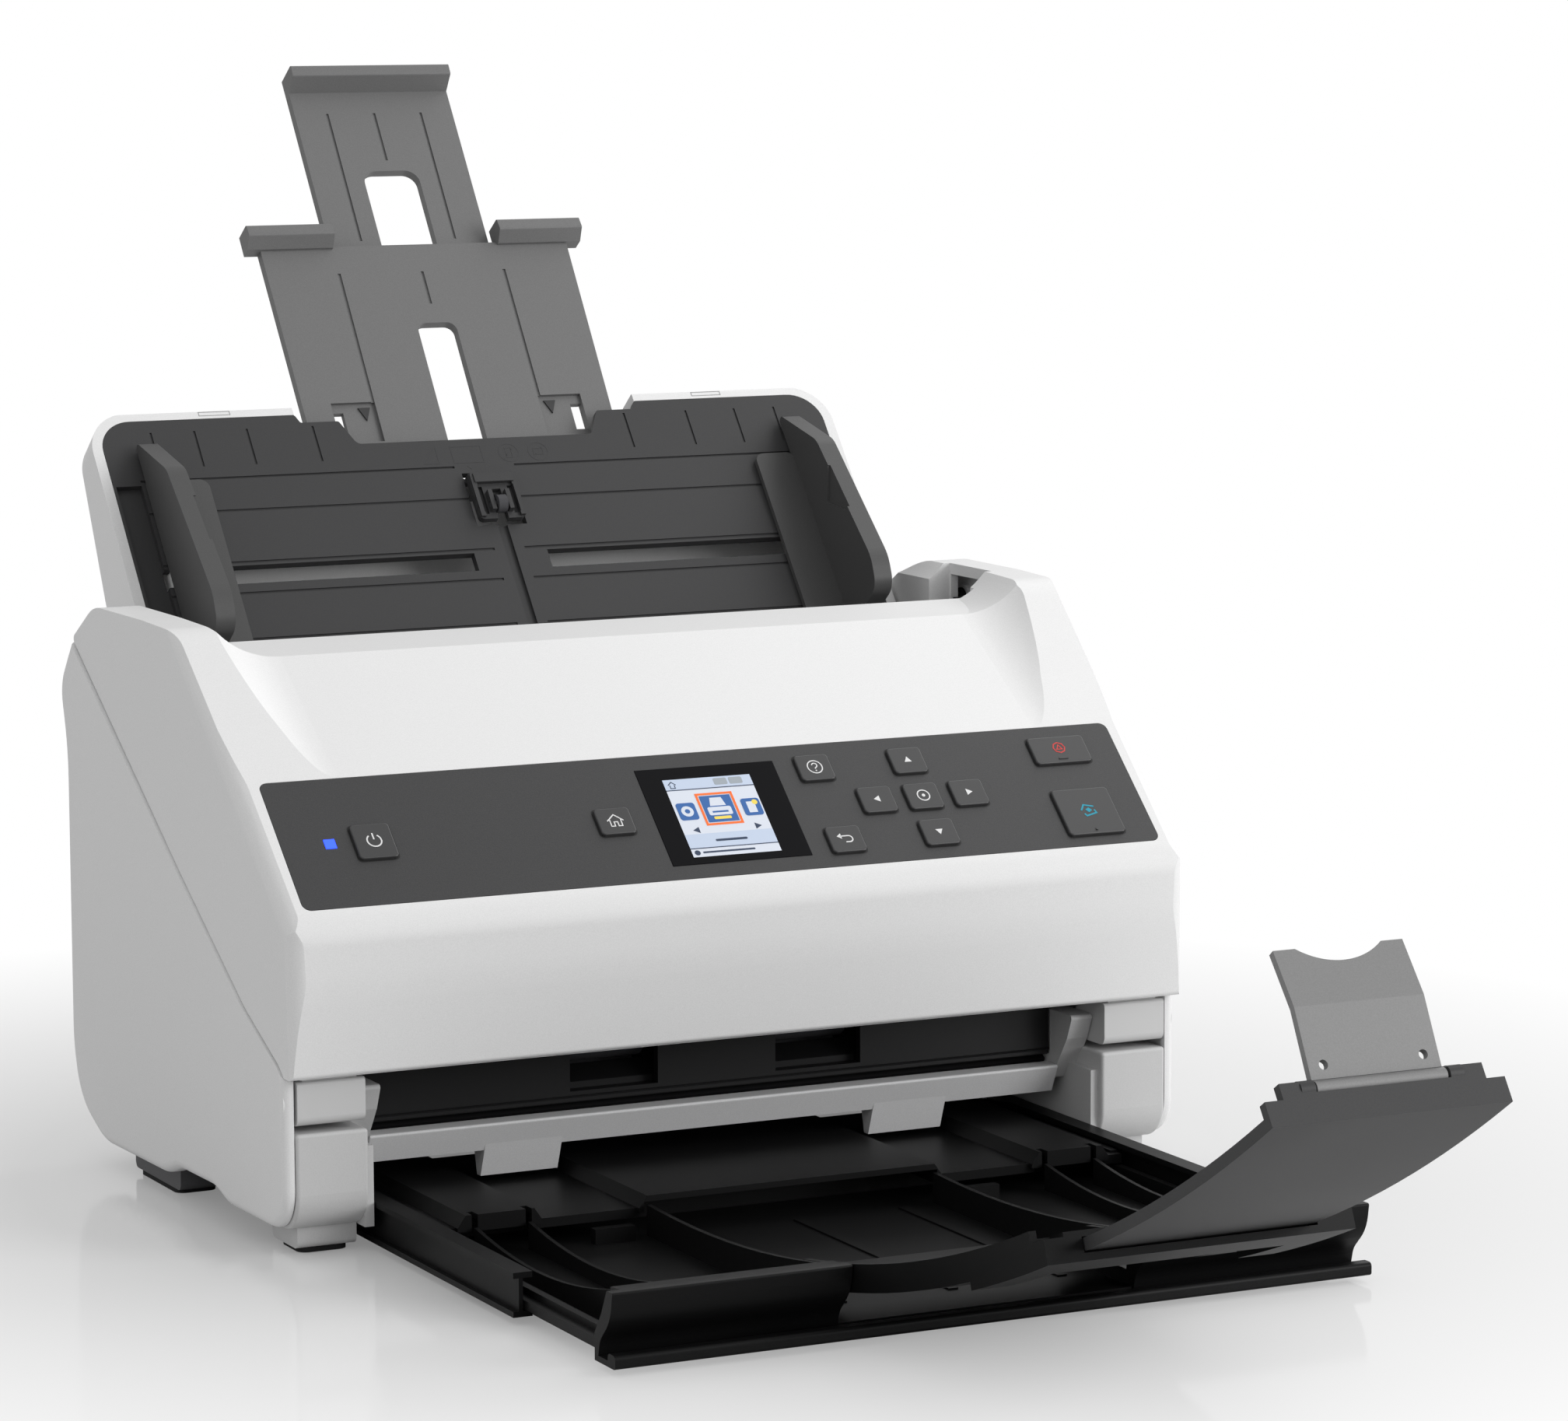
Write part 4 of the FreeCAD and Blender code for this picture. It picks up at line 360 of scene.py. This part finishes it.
LAYERS = [
    ("screen_field", SCREEN_WHITE, [rectangle(SCREEN_LEFT, SCREEN_RIGHT, -14.2, 14.2)]),
    ("screen_shade", SCREEN_PALE, [rectangle(SCREEN_LEFT, SCREEN_RIGHT, -11.0, -6.0)]),
    ("screen_header", SCREEN_PALE, [rectangle(SCREEN_LEFT, SCREEN_RIGHT, 10.4, 14.2)]),
    ("screen_lines", SCREEN_DARK, rules + home_sign + page_arrows + caption_bars),
    ("screen_tabs", SCREEN_GREY, [rounded(1.8, 6.0, 11.2, 13.6, 0.5), rounded(6.6, 10.8, 11.2, 13.6, 0.5)]),
    ("screen_frame", SCREEN_ORANGE, band(rectangle(-5.4, 5.6, -2.9, 8.1), 0.7, True)),
    ("screen_tiles", SCREEN_BLUE, tiles),
    ("screen_marks", SCREEN_WHITE, tile_signs),
    ("screen_details", SCREEN_YELLOW, [rounded(-2.6, 2.8, -1.3, -0.3, 0.3), circle(11.7, 3.9, 0.9, 14)]),
    ("screen_dots", SCREEN_BLUE, [circle(-10.0, 2.3, 0.8, 14), rectangle(-2.4, 2.6, 1.1, 1.7)]),
]
for depth, (name, material, shapes) in enumerate(LAYERS):
    draw(name, screen, shapes, material, "scanner_cover", 0.02 + 0.02 * depth, 0.01)


# ---------------------------------------------------------------- fascia and side panels
panel_points = [vertex.co for vertex in frame["nodes"]["left_side_panel"].data.vertices]
panel_front = min(point.y for point in panel_points)
panel_rear = max(point.y for point in panel_points)
half_width_front = max(-point.x for point in panel_points if point.y < panel_front + 4 * MM)
half_width_rear = max(-point.x for point in panel_points if point.y > panel_rear - 12 * MM)


def half_width(y):
    """Distance of the side panels' outer faces from the middle, where they pass a depth."""
    share = (y - panel_front) / (panel_rear - panel_front)
    return half_width_front + (half_width_rear - half_width_front) * share


def draw_side(name, points, width, side, material, body, closed=False):
    """Band on a side panel; points are (depth behind its front edge, height)."""
    mesh = bmesh.new()
    for quad in band(points, width, closed):
        corners = []
        for rise in (-0.12, 0.05):
            for depth, z in quad:
                y = panel_front + depth * MM
                corners.append(mesh.verts.new((side * (half_width(y) + rise * MM), y, z * MM)))
        mesh.faces.new(corners[4:])
        mesh.faces.new(corners[:4][::-1])
        for i in range(4):
            j = (i + 1) % 4
            mesh.faces.new((corners[i], corners[j], corners[4 + j], corners[4 + i]))
    bmesh.ops.recalc_face_normals(mesh, faces=mesh.faces)
    return finish_piece(name, mesh, material, body)


SEAM = [(157.5, 112.0), (121.0, 98.4)] + arc(99.5, 93.5, 3.2, 290, 215, 6) + [(84.5, 101.0)]
for side, word in SIDES:
    draw_side(word + "_panel_seam", SEAM, 0.35, side, SEAM_GREY, "base")


# ---------------------------------------------------------------- input tray
tray_up, tray_out = slope_axes(JOINTS["guide_pinion_turn"]["axis"])
BED_FOOT = 6.0      # the bed's lower edge lies this far below the tray's zero line
tray_origin = (tray_up * (extent("tray_bed", tray_up)[0] + BED_FOOT * MM)
               + tray_out * extent("tray_bed", tray_out)[1])
tray = Place(tray_origin, tray_up, tray_out)
pictures = (band([(-19.5, 68.3), (-14.5, 68.3), (-14.5, 74.5)], 0.35, True)
            + band(rectangle(-9.5, 0.5, 68.2, 74.2), 0.35, True)
            + [[(-5.6, 66.9), (-3.4, 66.9), (-4.5, 65.6)]]
            + band(circle(9.5, 71.2, 3.3), 0.35, True) + band([(7.4, 69.1), (11.6, 73.3)], 0.35)
            + band(circle(19.5, 71.2, 3.3), 0.35, True) + band([(17.4, 69.1), (21.6, 73.3)], 0.35)
            + band(rectangle(8.5, 10.5, 69.4, 73.0), 0.3, True)
            + band(rectangle(17.9, 21.1, 70.1, 72.3), 0.3, True))
draw("tray_pictures", tray.moved(0, -4.6), pictures, EMBOSSED, "base", 0.04, 0.02)
RIM_LATCH = 83.0    # distance of the rim's snap marks from the middle
for side, word in SIDES:
    mark = rectangle(side * RIM_LATCH - 5, side * RIM_LATCH + 5, 84.9, 86.2)
    draw("rim_latch_" + word, tray, band(mark, 0.22, True), SEAM_GREY, "base", 0.05, 0.02)


def recolour_below(material, out, level, colour):
    """Gives a material another colour wherever the piece lies below a plane."""
    nodes, links = material.node_tree.nodes, material.node_tree.links
    shader = nodes["Principled BSDF"]
    upper_colour = shader.inputs["Base Color"].links[0].from_socket
    place, height = nodes.new("ShaderNodeTexCoord"), nodes.new("ShaderNodeVectorMath")
    height.operation = "DOT_PRODUCT"
    height.inputs[1].default_value = out
    below, mix = nodes.new("ShaderNodeMath"), nodes.new("ShaderNodeMix")
    below.operation = "LESS_THAN"
    below.inputs[1].default_value = level
    mix.data_type = "RGBA"
    mix.inputs["B"].default_value = list(colour) + [1]
    links.new(place.outputs["Object"], height.inputs[0])
    links.new(height.outputs["Value"], below.inputs[0])
    links.new(below.outputs[0], mix.inputs["Factor"])
    links.new(upper_colour, mix.inputs["A"])
    links.new(mix.outputs["Result"], shader.inputs["Base Color"])


# under the bed the guides' racks are pale; the cover's hinge blocks are a shade darker than its front
under_bed = tray.origin.dot(tray_out) - 1.0 * MM
recolour_below(GUIDE, tray_out, under_bed, (0.80, 0.80, 0.80))
cover_edge = JOINTS["cover_opening"]["pos_m"][2] + 7.5 * MM
recolour_below(COVER, (0, 0, 1), cover_edge, (0.60, 0.60, 0.60))

# triangles in the latch pockets of the lower extension
EXTENSION_FOOT = 30.0       # from the extension's lower end up to its zero line
EXTENSION_DEPTH = 8.2       # from its rearmost ribs out to its front face
POCKET = (31.4, 1.4, -1.2)  # middle of a pocket's floor: across, up the slope, out of it
TRIANGLE_DOWN = [(-1.9, 2.2), (0.2, -2.4), (2.1, 2.2)]
inwards = JOINTS["lower_extension_travel"]["axis"]
ext_up, ext_out = slope_axes([0, inwards[2], -inwards[1]])
ext_origin = (ext_up * (extent("lower_tray_extension", ext_up)[0] + EXTENSION_FOOT * MM)
              + ext_out * (extent("lower_tray_extension", ext_out)[0] + EXTENSION_DEPTH * MM))
extension = Place(ext_origin, ext_up, ext_out)
for side, word in SIDES:
    pocket = extension.moved(side * POCKET[0], POCKET[1], POCKET[2])
    draw("latch_triangle_" + word, pocket, [TRIANGLE_DOWN], EMBOSSED, "lower_slide", 0.5, 0.1)


# ---------------------------------------------------------------- softened edges
SHARP_EDGE = math.radians(40)
SOFT = {
    0.9: "front_legs tray_shell",
    0.7: "left_edge_guide right_edge_guide rear_cover",
    0.45: "cover_shell exit_bar lower_tray_extension upper_tray_extension stacker_tray tray_top_plate",
    0.35: "tray_frame curved_extension extension_leaf stopper_flap left_side_panel right_side_panel",
    0.25: "control_panel tray_bed base_frame paper_support front_paper_guide",
}
for width, names in SOFT.items():
    for name in names.split():
        bevel = frame["nodes"][name].modifiers.new("soft_edges", "BEVEL")
        bevel.width = width * MM
        bevel.segments = 2
        bevel.limit_method = "ANGLE"
        bevel.angle_limit = SHARP_EDGE
        bevel.harden_normals = True


# ---------------------------------------------------------------- camera, lights and floor
def aim(thing, place, yaw, pitch, roll=0.0):
    """Looks along +Y turned by yaw towards +X, and pitched down."""
    thing.matrix_world = (Matrix.Translation(place) @ Matrix.Rotation(-yaw, 4, "Z")
                          @ Matrix.Rotation(math.pi / 2 - pitch, 4, "X") @ Matrix.Rotation(roll, 4, "Z"))


lens = bpy.data.cameras.new("camera")
lens.lens = 127.04
lens.sensor_width = 36.0
lens.clip_end = 50
legs_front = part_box("front_legs")[0].y
camera = bpy.data.objects.new("camera", lens)
bpy.context.scene.collection.objects.link(camera)
# the eye stands left of the machine, well in front of its legs and a little above it
eye = Vector((-0.676, legs_front - 1.386, 0.351))
aim(camera, eye, math.radians(26.40), math.radians(7.65), math.radians(-0.18))
bpy.context.scene.camera = camera


def soft_light(name, place, target, size, power):
    """Broad light that looks at a target; size in metres, power in watts."""
    light = bpy.data.lights.new(name, "AREA")
    light.shape = "RECTANGLE"
    light.size, light.size_y = size
    light.energy = power
    lamp = bpy.data.objects.new(name, light)
    bpy.context.scene.collection.objects.link(lamp)
    lamp.location = place
    lamp.rotation_euler = (Vector(target) - Vector(place)).to_track_quat("-Z", "Y").to_euler()


middle = Vector((0, legs_front + 0.08, 0.1))
soft_light("right_light", middle + Vector((0.65, 0.25, 0.60)), middle, (0.7, 0.7), 2.6)
soft_light("front_light", middle + Vector((1.5, -1.6, 0.7)), middle, (1.2, 1.2), 26)


def white_surroundings(fill_strength):
    """White behind the machine for the camera, and a weaker even light for everything else."""
    world = bpy.data.worlds.new("world")
    bpy.context.scene.world = world
    world.use_nodes = True
    nodes, links = world.node_tree.nodes, world.node_tree.links
    seen, fill = nodes["Background"], nodes.new("ShaderNodeBackground")
    for background, strength in ((seen, 1.0), (fill, fill_strength)):
        background.inputs["Color"].default_value = (1, 1, 1, 1)
        background.inputs["Strength"].default_value = strength
    path, mix = nodes.new("ShaderNodeLightPath"), nodes.new("ShaderNodeMixShader")
    links.new(path.outputs["Is Camera Ray"], mix.inputs[0])
    links.new(fill.outputs[0], mix.inputs[1])
    links.new(seen.outputs[0], mix.inputs[2])
    links.new(mix.outputs[0], nodes["World Output"].inputs[0])


def pale_floor(centre, fade_start, fade_end, least_glow):
    """Floor that takes shadows near the machine and fades to plain white away from it."""
    bpy.ops.mesh.primitive_plane_add(size=12, location=(centre.x, centre.y, -0.2 * MM))
    floor = bpy.context.object
    floor.name = "floor"
    ground = plastic("floor_white", (0.72, 0.72, 0.72), 0.10, 0.0, 5.0, 0.0, 0.4)
    nodes, links = ground.node_tree.nodes, ground.node_tree.links
    place, distance = nodes.new("ShaderNodeTexCoord"), nodes.new("ShaderNodeVectorMath")
    distance.operation = "LENGTH"
    links.new(place.outputs["Object"], distance.inputs[0])
    fade = nodes.new("ShaderNodeMapRange")
    fade.inputs["From Min"].default_value = fade_start
    fade.inputs["From Max"].default_value = fade_end
    fade.inputs["To Min"].default_value = least_glow
    links.new(distance.outputs["Value"], fade.inputs["Value"])
    path, share = nodes.new("ShaderNodeLightPath"), nodes.new("ShaderNodeMath")
    share.operation = "MULTIPLY"
    links.new(path.outputs["Is Camera Ray"], share.inputs[0])
    links.new(fade.outputs["Result"], share.inputs[1])
    bright, blend = nodes.new("ShaderNodeEmission"), nodes.new("ShaderNodeMixShader")
    bright.inputs["Strength"].default_value = 1.0
    links.new(share.outputs[0], blend.inputs[0])
    links.new(nodes["Principled BSDF"].outputs[0], blend.inputs[1])
    links.new(bright.outputs[0], blend.inputs[2])
    links.new(blend.outputs[0], nodes["Material Output"].inputs[0])
    floor.data.materials.append(ground)


white_surroundings(0.66)
pale_floor(middle, 0.18, 0.42, 0.2)
bpy.context.scene.view_settings.view_transform = "Standard"
